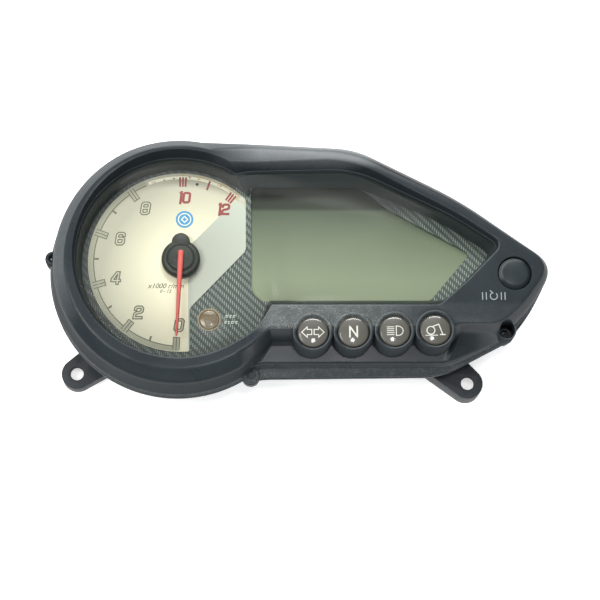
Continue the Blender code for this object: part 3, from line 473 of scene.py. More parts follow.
COLOURS = {
    "olive": (0.125, 0.120, 0.080),
    "ring": (0.36, 0.30, 0.20),
    # The raised reset mark's pale grey.
    "pale_mark": (0.185, 0.205, 0.210),
    "band": (0.335, 0.330, 0.255),
    "red": (0.27, 0.038, 0.040),
    "red_worn": (0.34, 0.055, 0.050),
    "blue": (0.055, 0.285, 0.545),
    "cream": (0.86, 0.83, 0.66),
    "pale_grey": (0.50, 0.48, 0.38),
    "black": (0.012, 0.012, 0.012),
    "white": (0.66, 0.68, 0.63),
    "symbol": (0.46, 0.47, 0.42),
}
INKS = {name: ink(f"ink_{name}", colour) for name, colour in COLOURS.items()}


# Outlines


def corner_curve(before, corner, after, radius, limit=1.0, steps=CORNER_STEPS):
    """The rounding of a corner, which takes at most a share of the way to each neighbour."""
    back = before - corner
    on = after - corner
    start = corner + back.normalized() * min(radius, limit * back.length)
    end = corner + on.normalized() * min(radius, limit * on.length)
    points = []
    for step in range(steps + 1):
        t = step / steps
        points.append(start * (1 - t) ** 2 + corner * 2 * t * (1 - t) + end * t ** 2)
    return points


def hood_lift(y):
    return max(0.0, min(1.0, y / 55.0)) ** 2


def between(start, end):
    return [start.lerp(end, step / (STRAIGHT_STEPS + 1)) for step in range(1, STRAIGHT_STEPS + 1)]


def outline_points(outline):
    x, y, radius, height, lift, first, last = outline["ring"]
    ring = arc_points(x, y, radius, first, last, RING_STEPS)
    points = [Vector((px, py, height + lift * hood_lift(py))) for px, py in ring]
    chain = [points[-1], *[Vector(c[:3]) for c in outline["corners"]], points[0]]
    for before, here, after, (_, _, _, cut_back) in zip(chain, chain[1:], chain[2:], outline["corners"]):
        cut_back = min(cut_back, 0.45 * (before - here).length, 0.45 * (after - here).length)
        curve = corner_curve(before, here, after, cut_back)
        points += between(points[-1], curve[0]) + curve
    return points + between(points[-1], points[0])


def grown(outline, distance, height=None, drop=0.0):
    """The outline moved outwards by a distance, and to a height or down by a drop where one is given."""
    x, y, radius, ring_z, lift, first, last = outline["ring"]
    start, end = (Vector(p) for p in arc_points(x, y, radius, last, first, 1))
    chain = [start, *[Vector(c[:2]) for c in outline["corners"]], end]
    corners = []
    for before, here, after, (_, _, z, cut_back) in zip(chain, chain[1:], chain[2:], outline["corners"]):
        into = (here - before).normalized()
        out = (after - here).normalized()
        side_in = Vector((into.y, -into.x))
        side_out = Vector((out.y, -out.x))
        point = here + (side_in + side_out) / (1 + side_in.dot(side_out)) * distance
        corners.append((point.x, point.y, z - drop if height is None else height, cut_back))
    if height is not None:
        ring_z = height
        lift = 0.0
    return {"ring": (x, y, radius + distance, ring_z - drop, lift, first, last), "corners": tuple(corners)}


def wall_points(height, outward=0.0):
    """The wall round the window at a height, between the crease and the window's foot."""
    points = []
    foot_points = outline_points(grown(WINDOW_FOOT, outward))
    for top, foot in zip(outline_points(grown(CREASE, outward)), foot_points):
        points.append(top.lerp(foot, (top.z - height) / (top.z - foot.z)))
    return points


def filleted(loops, radii, steps=4):
    """Loops with each edge line that has a radius replaced by the lines of a small rounding."""
    result = []
    count = len(loops)
    for index, (loop, radius) in enumerate(zip(loops, radii)):
        if not radius:
            result.append(loop)
            continue
        before, after = loops[index - 1], loops[(index + 1) % count]
        curves = [corner_curve(*three, radius, 0.42, steps) for three in zip(before, loop, after)]
        result += [list(row) for row in zip(*curves)]
    return result


def arc_points(x, y, radius, first, last, steps):
    turns = [math.radians(first + (last - first) * k / steps) for k in range(steps + 1)]
    return [(x + radius * math.cos(turn), y + radius * math.sin(turn)) for turn in turns]


def circle(x, y, radius, steps=64):
    return arc_points(x, y, radius, 0, 360, steps)[:-1]


def soft_corners(points, radius, limit, steps, closed=True):
    """A flat path with each of its corners, or each inner one of an open path, rounded."""
    rounded = []
    count = len(points)
    for index, point in enumerate(points):
        if not closed and index in (0, count - 1):
            rounded.append(point)
            continue
        three = (Vector(points[(index + k) % count]) for k in (-1, 0, 1))
        rounded += [tuple(p) for p in corner_curve(*three, radius, limit, steps)]
    return rounded


def round_polygon(points, radius):
    return soft_corners(points, radius, 0.45, 6)


def box(x, y, half_x, half_y):
    return [(x + sx * half_x, y + sy * half_y) for sx, sy in ((-1, -1), (1, -1), (1, 1), (-1, 1))]


# Solids


def piece(name, slot, points, faces, look=None, body="housing", stands_for=(), sharp=SHARP):
    """A shown piece, from points in millimetres, that rides on a body of the frame."""
    mesh = bpy.data.meshes.new(name)
    mesh.from_pydata([[c * MM for c in p] for p in points], [], faces)
    work = bmesh.new()
    work.from_mesh(mesh)
    bmesh.ops.recalc_face_normals(work, faces=work.faces)
    work.to_mesh(mesh)
    work.free()
    mesh.materials.append(look or LOOKS[slot])
    shade(mesh, sharp)
    obj = bpy.data.objects.new(name, mesh)
    bpy.context.scene.collection.objects.link(obj)
    if body:
        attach(obj, body)
    if stands_for:
        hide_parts(*stands_for)
    return obj


def shade(mesh, sharp):
    mesh.shade_smooth()
    mesh.set_sharp_from_angle(angle=math.radians(sharp))


def lofted(name, slot, loops, closed=False, **how):
    """A skin through loops with the same number of points: a ring when closed, or a body with flat ends."""
    count = len(loops[0])
    points = [p for loop in loops for p in loop]
    faces = []
    rows = len(loops)
    for row in range(rows if closed else rows - 1):
        a, b = row * count, (row + 1) % rows * count
        for k in range(count):
            after = (k + 1) % count
            faces.append((a + k, a + after, b + after, b + k))
    if not closed:
        faces.append(tuple(range(count)))
        faces.append(tuple(range((rows - 1) * count, rows * count)))
    return piece(name, slot, points, faces, **how)


def turned(name, slot, profile, centre, steps=ROUND_STEPS, closed=False, rounding=0.25, **how):
    """A turned solid from (radius, height) points."""
    x, y = centre
    points = []
    rows = []
    for radius, height in soft_corners(profile, rounding, 0.42, 3, closed):
        if radius < 1e-6:
            rows.append([len(points)] * steps)
            points.append((x, y, height))
            continue
        rows.append(list(range(len(points), len(points) + steps)))
        points += [(*p, height) for p in circle(x, y, radius, steps)]
    faces = []
    for low, high in (zip(rows, rows[1:] + rows[:1]) if closed else zip(rows, rows[1:])):
        for k in range(steps):
            after = (k + 1) % steps
            corners = tuple(dict.fromkeys((low[k], low[after], high[after], high[k])))
            if len(corners) > 2:
                faces.append(corners)
    return piece(name, slot, points, faces, **how)


def slab(name, slot, outline, low, high, rounding=0.0, **how):
    """A flat piece with rounded upper and lower edges."""
    if not rounding:
        return lofted(name, slot, [[(*p, z) for p in outline] for z in (low, high)], **how)
    loops = []
    count = len(outline)
    slope = rounding * 0.3
    for inset, z in ((rounding, low), (slope, low + slope), (0, low + rounding), (0, high - rounding),
                     (slope, high - slope), (rounding, high)):
        loop = []
        for k in range(count):
            before, here, after = (Vector(outline[(k + d) % count]) for d in (-1, 0, 1))
            tangent = (after - before).normalized()
            loop.append((here.x - tangent.y * inset, here.y + tangent.x * inset, z))
        loops.append(loop)
    return lofted(name, slot, loops, **how)


def cut(obj, outline, low, high):
    """Takes an upright block with an outline away from a piece."""
    cutter = slab("cutter", None, outline, low, high, look=LOOKS["steel"], body=None)
    modifier = obj.modifiers.new("cut", "BOOLEAN")
    modifier.operation = "DIFFERENCE"
    modifier.solver = "EXACT"
    modifier.object = cutter
    apply_modifiers(obj)
    bpy.data.objects.remove(cutter)
    shade(obj.data, SHARP)


def apply_modifiers(obj):
    """Keeps the evaluated shape as the piece's own mesh."""
    bpy.context.view_layer.update()
    graph = bpy.context.evaluated_depsgraph_get()
    mesh = bpy.data.meshes.new_from_object(obj.evaluated_get(graph))
    obj.modifiers.clear()
    old = obj.data
    obj.data = mesh
    bpy.data.meshes.remove(old)
    mesh.name = obj.name


def eased(obj, width, segments=3, angle=35.0):
    """Rounds a piece's sharp edges."""
    modifier = obj.modifiers.new("ease", "BEVEL")
    modifier.width = width * MM
    modifier.segments = segments
    modifier.limit_method = "ANGLE"
    modifier.angle_limit = math.radians(angle)
    apply_modifiers(obj)
    shade(obj.data, 40.0)


def strip(path, width, z, thick=0.05):
    """Points and faces of a flat line with mitred corners, lying at a height."""
    closed = path[0] == path[-1]
    core = [Vector(p) for p in (path[:-1] if closed else path)]
    count = len(core)
    left = []
    right = []
    for k, here in enumerate(core):
        before = core[k - 1] if closed or k else None
        after = core[(k + 1) % count] if closed or k < count - 1 else None
        into = (here - before).normalized() if before is not None else (after - here).normalized()
        out = (after - here).normalized() if after is not None else into
        side_in = Vector((-into.y, into.x))
        side_out = Vector((-out.y, out.x))
        mitre = (side_in + side_out) / max(0.35, 1 + side_in.dot(side_out))
        if before is None:
            here = here - out * width / 2
        if after is None:
            here = here + into * width / 2
        left.append(here + mitre * width / 2)
        right.append(here - mitre * width / 2)
    points = []
    for height in (z, z + thick):
        points += [(p.x, p.y, height) for p in left] + [(p.x, p.y, height) for p in right]
    faces = []
    top = 2 * count
    for k in range(count if closed else count - 1):
        a, b = k, (k + 1) % count
        faces.append((top + a, top + b, top + count + b, top + count + a))
        faces.append((a, count + a, count + b, b))
        faces.append((a, b, top + b, top + a))
        faces.append((count + a, top + count + a, top + count + b, count + b))
    if not closed:
        for a in (0, count - 1):
            faces.append((a, top + a, top + count + a, count + a))
    return points, faces


def printed(name, slot, tone, shapes, body="housing"):
    """One thin layer of ink, or of the slot's own look, made of several (points, faces) shapes."""
    points = []
    faces = []
    for more_points, more_faces in shapes:
        base = len(points)
        points += more_points
        faces += [tuple(base + i for i in face) for face in more_faces]
    return piece(name, slot, points, faces, INKS[tone] if tone else None, body)


def patch(outline, z, thick=0.05):
    """Points and faces of a thin filled shape."""
    count = len(outline)
    points = [(*p, z) for p in outline] + [(*p, z + thick) for p in outline]
    faces = [tuple(range(count)), tuple(range(count, 2 * count))]
    faces += [(k, (k + 1) % count, count + (k + 1) % count, count + k) for k in range(count)]
    return points, faces


# Bezel, mask, window


def bezel():
    roof = []
    for inner, outer in zip(outline_points(CREASE), outline_points(FACE_EDGE)):
        roof.append(inner.lerp(outer, 0.5) - Vector((0, 0, BEZEL_WALL)))
    skin = (CREASE, FACE_EDGE, OUTER_CREST, WALL_FOOT, FLANGE_STEP, FLANGE_EDGE,
            grown(FLANGE_EDGE, 0.0, Z_SEAM), grown(FLANGE_STEP, -2.2, Z_SEAM),
            grown(WALL_FOOT, -BEZEL_WALL, drop=BEZEL_WALL), grown(OUTER_CREST, -BEZEL_WALL, drop=BEZEL_WALL))
    loops = [wall_points(Z_WALL_FOOT), *[outline_points(outline) for outline in skin], roof,
             wall_points(Z_WALL_FOOT, 1.5)]
    radii = (0.2, 0.9, 1.3, 1.8, 0.7, 0.25, 0.4, 0.3, 0, 0, 0, 0, 0.1)
    shell = lofted("bezel_shell", "bezel_black", filleted(loops, radii), closed=True,
                   stands_for=("front_bezel",), sharp=SHARP_SHELL)
    cut(shell, circle(*BUTTON, BUTTON_BORE_R, ROUND_STEPS), 35.0, 60.0)
    x, y, _ = CASE_SCREWS[2]
    cut(shell, circle(x, y, WELL_R), 31.0, 60.0)
    shell.data.set_sharp_from_angle(angle=math.radians(SHARP_SHELL))
    well = ((4.6, 30.0), (4.6, 40.6), (4.3, 41.2), (WELL_R, 40.9), (WELL_R, 30.0))
    turned("screw_well", "bezel_black", well, (x, y), 64, closed=True, rounding=0.2)
    sleeve = ((9.6, 34.5), (9.6, 51.2), (9.0, 51.6), (8.4, 51.55), (7.8, 50.9), (7.6, 50.2), (7.6, 34.5))
    for name, centre in LAMPS.items():
        turned(f"sleeve_{name}", "bezel_black", sleeve, centre, closed=True, rounding=0.35)
    guide = ((9.5, 39.0), (9.5, 49.3), (BUTTON_BORE_R, 49.9), (8.2, 49.3), (BUTTON_BORE_R, 39.0))
    turned("button_guide", "bezel_black", guide, BUTTON, closed=True, rounding=0.3)
    for index, (x, y, radius) in enumerate(CASE_SCREWS, 1):
        radius -= LOBE_SLACK
        lobe = ((radius, Z_SEAM + 0.05), (radius, 31.4), (radius - 0.7, 32.2), (2.3, 32.2), (2.0, 31.9),
                (1.9, 30.4), (1.2, 30.2), (1.2, Z_SEAM + 0.05))
        turned(f"screw_boss_{index}", "bezel_black", lobe, (x, y), 56, closed=True, rounding=0.35)


def mask():
    top = Z_MASK_FOOT + MASK_WALL
    loops = [wall_points(Z_MASK_TOP), outline_points(WINDOW_FOOT),
             outline_points(grown(WINDOW_FOOT, MASK_FOOT, Z_MASK_FOOT)),
             outline_points(grown(WINDOW_FOOT, MASK_FOOT, top)),
             wall_points(top, MASK_WALL), wall_points(Z_MASK_TOP, MASK_WALL)]
    lofted("mask_surround", "mask_black", filleted(loops, (0.3, 0.25, 0.2, 0.2, 0.2, 0.3), 3), closed=True,
           stands_for=("inner_mask",), sharp=SHARP_SHELL)


def window():
    rim = [(p.x, p.y) for p in wall_points(Z_WALL_FOOT, PANE_EDGE)]
    slab("window_pane", "clear", rim, *Z_LENS, 0.2, stands_for=("clear_lens",))
    # Black seal round the pane's edge, level with the walls above and below it.
    top, foot = Z_WALL_FOOT - 0.06, Z_MASK_TOP + 0.06
    loops = [wall_points(top), wall_points(foot), wall_points(foot, SEAL_EDGE), wall_points(top, SEAL_EDGE)]
    lofted("window_seal", "mask_black", filleted(loops, (0.15, 0.15, 0.1, 0.1), 2), closed=True,
           sharp=SHARP_SHELL)


def trim():
    rim = [(p.x, p.y) for p in outline_points(grown(WINDOW_FOOT, MASK_FOOT))]
    plate = slab("trim_print", "carbon_print", rim, *Z_TRIM, stands_for=("trim_plate",))
    for outline in (round_polygon(DISPLAY_WINDOW, 3.0), circle(*RPM_LAMP, DIAL_LAMP_HOLE_R),
                    circle(*PIVOT, SHAFT_HOLE_R)):
        cut(plate, outline, 30.0, 40.0)
    # The panel reaches a little under the plate on every side of its window.
    glass = [(x + (PANEL_EDGE if x > 32 else -PANEL_EDGE), y + (PANEL_EDGE if y > 0 else -PANEL_EDGE))
             for x, y in DISPLAY_WINDOW]
    slab("display_panel", "display_glass", round_polygon(glass, 1.5), *Z_DISPLAY, 0.15,
         stands_for=("lcd_glass",))


# Tachometer


def dial_outline():
    right_end, lower_end = -26.4, -50.2
    start = math.degrees(math.acos((right_end - DIAL_CENTRE[0]) / DIAL_R))
    end = 360 - math.degrees(math.acos((lower_end - DIAL_CENTRE[0]) / DIAL_R))
    corner = ((lower_end, -20.9), (-49.3, -19.0), (-23.8, 8.0), (-23.0, 10.0), (-23.0, 34.0), (-23.4, 35.4))
    return arc_points(*DIAL_CENTRE, DIAL_R, start, end, 150) + list(corner)


def scale_place(value, radius):
    """The point for a value and a radius; the scale starts straight down and goes clockwise."""
    angle = math.radians(NEEDLE_REST + value * SCALE_STEP)
    return (DIAL_CENTRE[0] - radius * math.sin(angle), DIAL_CENTRE[1] - radius * math.cos(angle))


def scale_band(first, last, outer, inner, thick, steps=90):
    """A band along the scale between two values."""
    values = [first + (last - first) * k / steps for k in range(steps + 1)]
    back = [last + (first - last) * k / steps for k in range(steps + 1)]
    outline = [scale_place(value, outer) for value in values] + [scale_place(value, inner) for value in back]
    return patch(outline, Z_DIAL[1], thick)


def scale_bar(value, low, high, width, thick):
    """A bar across the scale."""
    inner = Vector(scale_place(value, low))
    outer = Vector(scale_place(value, high))
    side = (outer - inner).normalized()
    side = Vector((-side.y, side.x)) * width / 2
    outline = [tuple(p) for p in (inner - side, outer - side, outer + side, inner + side)]
    return patch(outline, Z_DIAL[1], thick)


ZERO = ((0.12, 0), (0.5, 0), (0.62, 0.12), (0.62, 0.88), (0.5, 1), (0.12, 1), (0, 0.88), (0, 0.12), (0.12, 0))
DIGITS = {
    "0": [ZERO],
    "1": [((0.3, 1.08), (0.3, -0.08)), ((0.22, 1.0), (0.3, 1.0))],
    "2": [((0, 0.78), (0, 0.9), (0.12, 1), (0.5, 1), (0.62, 0.88), (0.62, 0.62), (0.5, 0.52), (0.12, 0.44),
           (0, 0.32), (0, 0), (0.62, 0))],
    "4": [((0.5, 0), (0.5, 1), (0.36, 1), (0, 0.4), (0, 0.26), (0.3, 0.26)), ((0.3, 0.26), (0.66, 0.26))],
    "6": [((0.6, 0.82), (0.6, 0.9), (0.5, 1), (0.12, 1), (0, 0.88), (0, 0.12), (0.12, 0), (0.5, 0),
           (0.62, 0.12), (0.62, 0.42), (0.5, 0.54), (0.3, 0.54)), ((0.3, 0.54), (0, 0.54))],
    "8": [ZERO, ((0, 0.52), (0.62, 0.52))],
}


def numeral(text, centre, height, stroke, thick, slant=0.16, spacing=0.98):
    """The strokes of a numeral centred on a point, each a little higher than the last."""
    width = 0.62 * height + (len(text) - 1) * spacing * height * 0.78
    paths = []
    x = centre[0] - width / 2
    for letter in text:
        for path in DIGITS[letter]:
            paths.append([(x + height * (px + slant * (py - 0.5)), centre[1] + height * (py - 0.5))
                          for px, py in path])
        x += spacing * height * (0.56 if letter == "1" else 0.8)
    return [strip(path, stroke, Z_DIAL[1], thick + 0.006 * index) for index, path in enumerate(paths)]


def scale_print():
    """The grey band with its outlined marks, and the worn red zone after it."""
    grey = [scale_band(-0.04, 8.6, 44.6, 42.3, 0.03)]
    lines = [scale_band(-0.04, 8.6, 42.3, 41.8, 0.05)]
    for value in (0, 2, 4, 6, 8):
        lines.append(scale_bar(value, 37.6, 43.9, 3.5, 0.06))
        grey.append(scale_bar(value, 38.05, 44.5, 2.6, 0.08))
        lines.append(scale_bar(value, 38.0, 44.0, 0.42, 0.10))
    lines += [scale_bar(value, 39.6, 42.1, 0.95, 0.06) for value in (1, 3, 5, 7)]
    printed("scale_band", "dial_silver", "band", grey)
    printed("scale_lines", "dial_silver", "olive", lines)
    red = [scale_bar(11, 38.4, 43.2, 1.0, 0.07)]
    for value in (10, 12):
        red += [scale_bar(value + side, 38.0, 42.9, 0.95, 0.07) for side in (-0.11, 0, 0.11)]
    printed("red_marks", "dial_silver", "red", red)
    printed("red_band_worn", "dial_silver", "red_worn", [scale_band(8.7, 12.15, 43.4, 41.9, 0.03)])


def numerals():
    """Outlined grey numerals, then the red ones: each layer's tone, places and stroke."""
    grey = {"0": (-55.2, -28.3), "2": (-74.8, -22.0), "4": (-85.9, -4.9), "6": (-84.0, 14.9),
            "8": (-72.0, 30.3)}
    red = {"10": (-52.8, 35.8), "12": (-33.7, 29.9)}
    for name, tone, places, stroke in (("edges", "olive", grey, (5.2, 1.75, 0.05)),
                                       ("fill", "pale_grey", grey, (5.2, 0.60, 0.08)),
                                       ("red", "red", red, (4.8, 1.2, 0.05, 0.12, 1.0))):
        shapes = [shape for text, centre in places.items() for shape in numeral(text, centre, *stroke)]
        printed(f"numeral_{name}", "dial_silver", tone, shapes)


def dial():
    slab("dial_plate", "dial_silver", dial_outline(), *Z_DIAL, stands_for=("tacho_dial",))
    scale_print()
    numerals()
    z = Z_DIAL[1]
    printed("stop_dot", "dial_silver", "black", [patch(circle(-46.9, 42.6, 0.75, 24), z, 0.09)])
    x, y = -52.9, 24.7
    printed("blue_disc", "dial_silver", "blue", [patch(circle(x, y, 4.3), z)])
    ring = circle(x, y, 3.0, 48)
    lozenge = circle(x, y, 1.5, 4)
    marks = [strip([*loop, loop[0]], 0.5, z, 0.08) for loop in (ring, lozenge)]
    printed("disc_lines", "dial_silver", "cream", marks)
    lettering("unit_text", "x1000 r/min", (-61.9, -8.9, z + 0.02), 3.5)
    lettering("unit_text_small", "0 - 12", (-62.0, -11.5, z + 0.02), 2.3)
    limit_lamp()


def limit_lamp():
    x, y = RPM_LAMP
    lens = ((0, 34.8), (4.9, 34.8), (4.9, 35.9), (4.5, 36.3), (2.2, 36.7), (0, 36.8))
    turned("limit_lamp", "lamp_amber", lens, RPM_LAMP, 64, rounding=0.3, stands_for=("rpm_limit_lens",))
    rim = ((5.6, 35.42), (5.6, 35.6), (5.2, 35.75), (4.95, 35.6), (4.95, 35.42))
    turned("limit_lamp_ring", "lamp_amber", rim, RPM_LAMP, 64, closed=True, rounding=0.05, look=INKS["ring"])
    # Short dashes in place of the lamp's label.
    dashes = []
    for row, widths in enumerate(((1.1, 0.8, 1.0), (0.9, 0.6, 1.2, 0.9))):
        left = x + 7.4 + 0.5 * (1 - row)
        py = y + 2.1 - 3.0 * row
        for width in widths:
            dashes.append(strip([(left + 0.2, py), (left + width, py)], 0.42, Z_TRIM[1]))
            dashes.append(strip([(left, py - 0.8), (left + width - 0.2, py - 0.8)], 0.34, Z_TRIM[1]))
            dashes.append(strip([(left, py - 0.7), (left + 0.2, py + 0.1)], 0.3, Z_TRIM[1], 0.06))
            left += width + 0.85
    printed("limit_marks", "carbon_print", "white", dashes)


def lettering(name, text, place, size):
    """A line of generic dial lettering as thin ink."""
    curve = bpy.data.curves.new(name, "FONT")
    curve.body = text
    curve.size = size * MM
    curve.shear = 0.35
    curve.align_x = "CENTER"
    curve.align_y = "CENTER"
    curve.extrude = 0.02 * MM
    curve.offset = 0.03 * MM
    curve.resolution_u = 4
    obj = bpy.data.objects.new(name, curve)
    bpy.context.scene.collection.objects.link(obj)
    bpy.context.view_layer.update()
    mesh = bpy.data.meshes.new_from_object(obj.evaluated_get(bpy.context.evaluated_depsgraph_get()))
    bpy.data.objects.remove(obj)
    mesh.transform(Matrix.Translation([c * MM for c in place]))
    mesh.materials.clear()
    mesh.materials.append(INKS["olive"])
    shown = bpy.data.objects.new(name, mesh)
    bpy.context.scene.collection.objects.link(shown)
    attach(shown, "housing")


def pointer():
    x, y = PIVOT
    profile = ((0, 37.2), (8.9, 37.2), (9.4, 37.7), (9.3, 40.2), (8.3, 41.3), (6.9, 41.5), (6.4, 41.9),
               (5.8, 42.3), (1.3, 42.5), (1.2, 43.2), (0, 43.2))
    turned("pointer_cap", "hub_black", profile, PIVOT, rounding=0.45, body="pointer",
           stands_for=("pointer_hub",))
    ear = [(x - 4.4, y + 4.0), (x + 4.4, y + 4.0), (x + 4.4, y + 8.6)]
    ear += arc_points(x, y + 8.2, 4.4, 8, 172, 20)
    ear.append((x - 4.4, y + 8.6))
    slab("pointer_counterweight", "hub_black", ear, 38.0, 41.5, 0.7, body="pointer")
    # The blade: sections along it, each with its place and half its width.
    end = y - 39.0
    stations = ((y + 3.2, 1.15), (y + 2.9, 1.35), (y - 4.0, 1.32), (y - 20.0, 0.95), (end + 1.2, 0.62),
                (end, 0.35))
    section = ((-1.0, 42.8), (1.0, 42.8), (1.0, 43.6), (0.55, 44.15), (-0.55, 44.15), (-1.0, 43.6))
    lean = math.tan(math.radians(NEEDLE_REST))
    loops = [[(x + (place - y) * lean + half * s, place, z) for s, z in section] for place, half in stations]
    blade = lofted("pointer_blade", "needle_red", loops, body="pointer", stands_for=("pointer_needle",))
    eased(blade, 0.12, 2, 30.0)


# Warning lamps


def dome_height(r):
    return 50.35 + 0.85 * (1 - (r / LENS_R) ** 2)


def finer(path, longest=0.8):
    """A path with its long stretches split, so that it can follow a dome."""
    points = [path[0]]
    for a, b in zip(path, path[1:]):
        length = math.hypot(b[0] - a[0], b[1] - a[1])
        count = max(1, math.ceil(length / longest))
        points += [(a[0] + (b[0] - a[0]) * k / count, a[1] + (b[1] - a[1]) * k / count)
                   for k in range(1, count + 1)]
    return points


def on_dome(shapes, centre):
    """Lays flat shapes, drawn round (0, 0), on a lamp's domed lens."""
    cx, cy = centre
    laid = []
    for points, faces in shapes:
        raised = [(cx + x, cy + y, dome_height(math.hypot(x, y)) - 0.02 + z) for x, y, z in points]
        laid.append((raised, faces))
    return laid


def arrow(direction):
    tip, neck, tail, half, shaft = 5.3, 2.7, 0.55, 2.5, 1.25
    path = [(tail, shaft), (neck, shaft), (neck, half), (tip, 0), (neck, -half), (neck, -shaft),
            (tail, -shaft), (tail, shaft)]
    return [(px * direction, py) for px, py in path]


def symbols():
    """The lines of each lamp's symbol, with the width of each line."""
    beam_arc = [(0.7, 2.3)] + [(1.4 + 2.6 * math.cos(math.radians(a)), 2.3 * math.sin(math.radians(a)))
                               for a in range(80, -81, -16)] + [(0.7, -2.3), (0.7, 2.3)]
    beams = [[(-3.6, 1.9 - 0.95 * k), (-0.4, 1.9 - 0.95 * k)] for k in range(5)]
    wheel = arc_points(-2.2, -0.4, 1.9, 0, 360, 18)
    return {
        "turn": [(arrow(1), 0.42), (arrow(-1), 0.42)],
        "neutral": [([(-1.75, -2.5), (-1.75, 2.5), (1.75, -2.5), (1.75, 2.5)], 0.75)],
        "high_beam": [(beam_arc, 0.42), *[(beam, 0.36) for beam in beams]],
        "side_stand": [(wheel, 0.45), ([(-1.0, 1.6), (1.6, 2.6), (3.4, -2.2)], 0.5),
                       ([(2.4, -2.4), (4.5, -2.4)], 0.55), ([(-4.6, -2.75), (1.0, -2.75)], 0.36)],
    }


def lamps():
    profile = [(0, 48.2), (6.9, 48.2), (7.2, 48.5), (LENS_R, 49.0), (LENS_R, 50.1)]
    profile += [(LENS_R * k / 12, dome_height(LENS_R * k / 12)) for k in range(11, 0, -1)] + [(0, 51.2)]
    drawings = symbols()
    for name, centre in LAMPS.items():
        turned(f"{name}_lamp", "lamp_smoke", profile, centre, rounding=0.1, stands_for=(f"{name}_lens",),
               sharp=60.0)
        shapes = [strip(finer(path), width, 0.0, 0.04) for path, width in drawings[name]]
        printed(f"{name}_symbol", "lamp_smoke", "symbol", on_dome(shapes, centre))


# Reset button


def button():
    x, y = BUTTON
    dome = [(6.1 * k / 10, 50.45 + 0.45 * (1 - (k / 10) ** 2)) for k in range(10, 0, -1)]
    profile = [(0, 21.6), (1.6, 21.6), (1.6, 33.4), (4.1, 34.6), (4.1, 37.2), (9.2, 37.2), (9.2, 38.6),
               (BUTTON_R, 38.6), (BUTTON_R, 48.7), (7.1, 49.4), *dome, (0, 50.9)]
    turned("reset_cap", "bezel_black", profile, BUTTON, rounding=0.3, body="button",
           stands_for=("reset_button",), sharp=40.0)
    ring = circle(x, y, 1.1, 24)
    printed("reset_cap_mark", "bezel_black", None, [strip([*ring, ring[0]], 0.3, 50.84, 0.12)], "button")
    # Raised turn-back arrow between dashes on the bezel beside the button, in a pale grey.
    cx, cy = 95.4, -17.4
    raised = [strip(arc_points(cx, cy, 1.7, 110, 400, 29), 0.5, Z_SHELF, 0.42),
              strip([(cx - 1.6, cy + 2.6), (cx - 0.4, cy + 1.5)], 0.5, Z_SHELF, 0.41)]
    for reach in (-3.6, -5.4, 3.6, 5.4):
        raised.append(strip([(cx + reach, cy - 1.6), (cx + reach, cy + 1.6)], 0.5, Z_SHELF, 0.42))
    printed("reset_mark", "bezel_black", "pale_mark", raised)
    spring()


def spring():
    """The coil spring under the button: a round wire."""
    x, y = BUTTON
    turns, steps, sides = 5, 36, 12
    low, high, radius, wire = 16.4, 36.4, 5.0, 0.4
    count = turns * steps
    loops = []
    for k in range(count + 1):
        angle = 2 * math.pi * k / steps
        out = Vector((math.cos(angle), math.sin(angle), 0))
        centre = Vector((x, y, low + (high - low) * k / count)) + out * radius
        loop = []
        for side in range(sides):
            turn = 2 * math.pi * side / sides
            loop.append(tuple(centre + out * wire * math.cos(turn) + Vector((0, 0, wire * math.sin(turn)))))
        loops.append(loop)
    coil = lofted("reset_coil", "steel", loops, stands_for=("reset_spring",))
    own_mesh(coil)


# Back


def case():
    """The tray with its lobes, lugs, top boss and ribs, and what is set in its back."""
    # The tray's section: how far in from the flange's edge, height, and rounding.
    steps = ((-9.5, 3.0, 0), (-7.0, 6.0, 0.8), (-6.0, 25.4, 0.8), (0.0, 25.4, 0.35), (0.0, 27.6, 0.35),
             (-8.0, 27.6, 0.3), (-9.0, 8.0, 0.5), (-11.0, 5.2, 0))
    radii = [radius for _, _, radius in steps]
    loops = [outline_points(grown(FLANGE_EDGE, inset, height)) for inset, height, _ in steps]
    tray = lofted("case_tray", "case_black", filleted(loops, radii, 3), stands_for=("rear_case",), sharp=40.0)
    cut(tray, round_polygon(box(*CONNECTOR, 17, 8), 1.2), 0.0, 10.0)
    cut(tray, circle(*VENT, 2.6, 32), 0.0, 10.0)
    for index, (x, y, radius) in enumerate(CASE_SCREWS, 1):
        radius -= LOBE_SLACK
        lobe = ((radius, 27.5), (radius, 22.8), (radius - 0.5, 22.4), (1.6, 22.4), (1.6, 27.5))
        turned(f"case_lobe_{index}", "case_black", lobe, (x, y), 48, closed=True, rounding=0.3)
    for name, (x, y, top, root_x, root_y) in LUGS.items():
        away = math.atan2(y - root_y, x - root_x)
        arm = arc_points(x, y, LUG_R, math.degrees(away) - 90, math.degrees(away) + 90, 24)
        side = Vector((-math.sin(away), math.cos(away))) * 9.5
        arm += [(root_x + side.x, root_y + side.y), (root_x - side.x, root_y - side.y)]
        lug = slab(f"lug_{name}", "case_black", arm, 0.0, top)
        cut(lug, circle(x, y, LUG_BORE_R), -5.0, 20.0)
        cut(lug, circle(x, y, LUG_RELIEF_R), -5.0, top - LUG_WEB)
        eased(lug, 0.5)
    boss = ((LUG_R, 0.0), (LUG_R, 5.0), (2.6, 5.0), (2.6, 0.0))
    turned("rear_boss", "case_black", boss, TOP_BOSS, 64, closed=True, rounding=0.4)
    ribs()
    # Breather with its ribs.
    profile = ((0, 1.2), (4.4, 1.2), (5.0, 1.5), (5.0, 1.9), (4.5, 2.05), (5.0, 2.2), (5.0, 2.7), (2.3, 2.7),
               (2.3, 6.8), (0, 6.8))
    turned("breather", "rubber", profile, VENT, 48, rounding=0.12, stands_for=("breather_vent",))
    socket()
    screws()


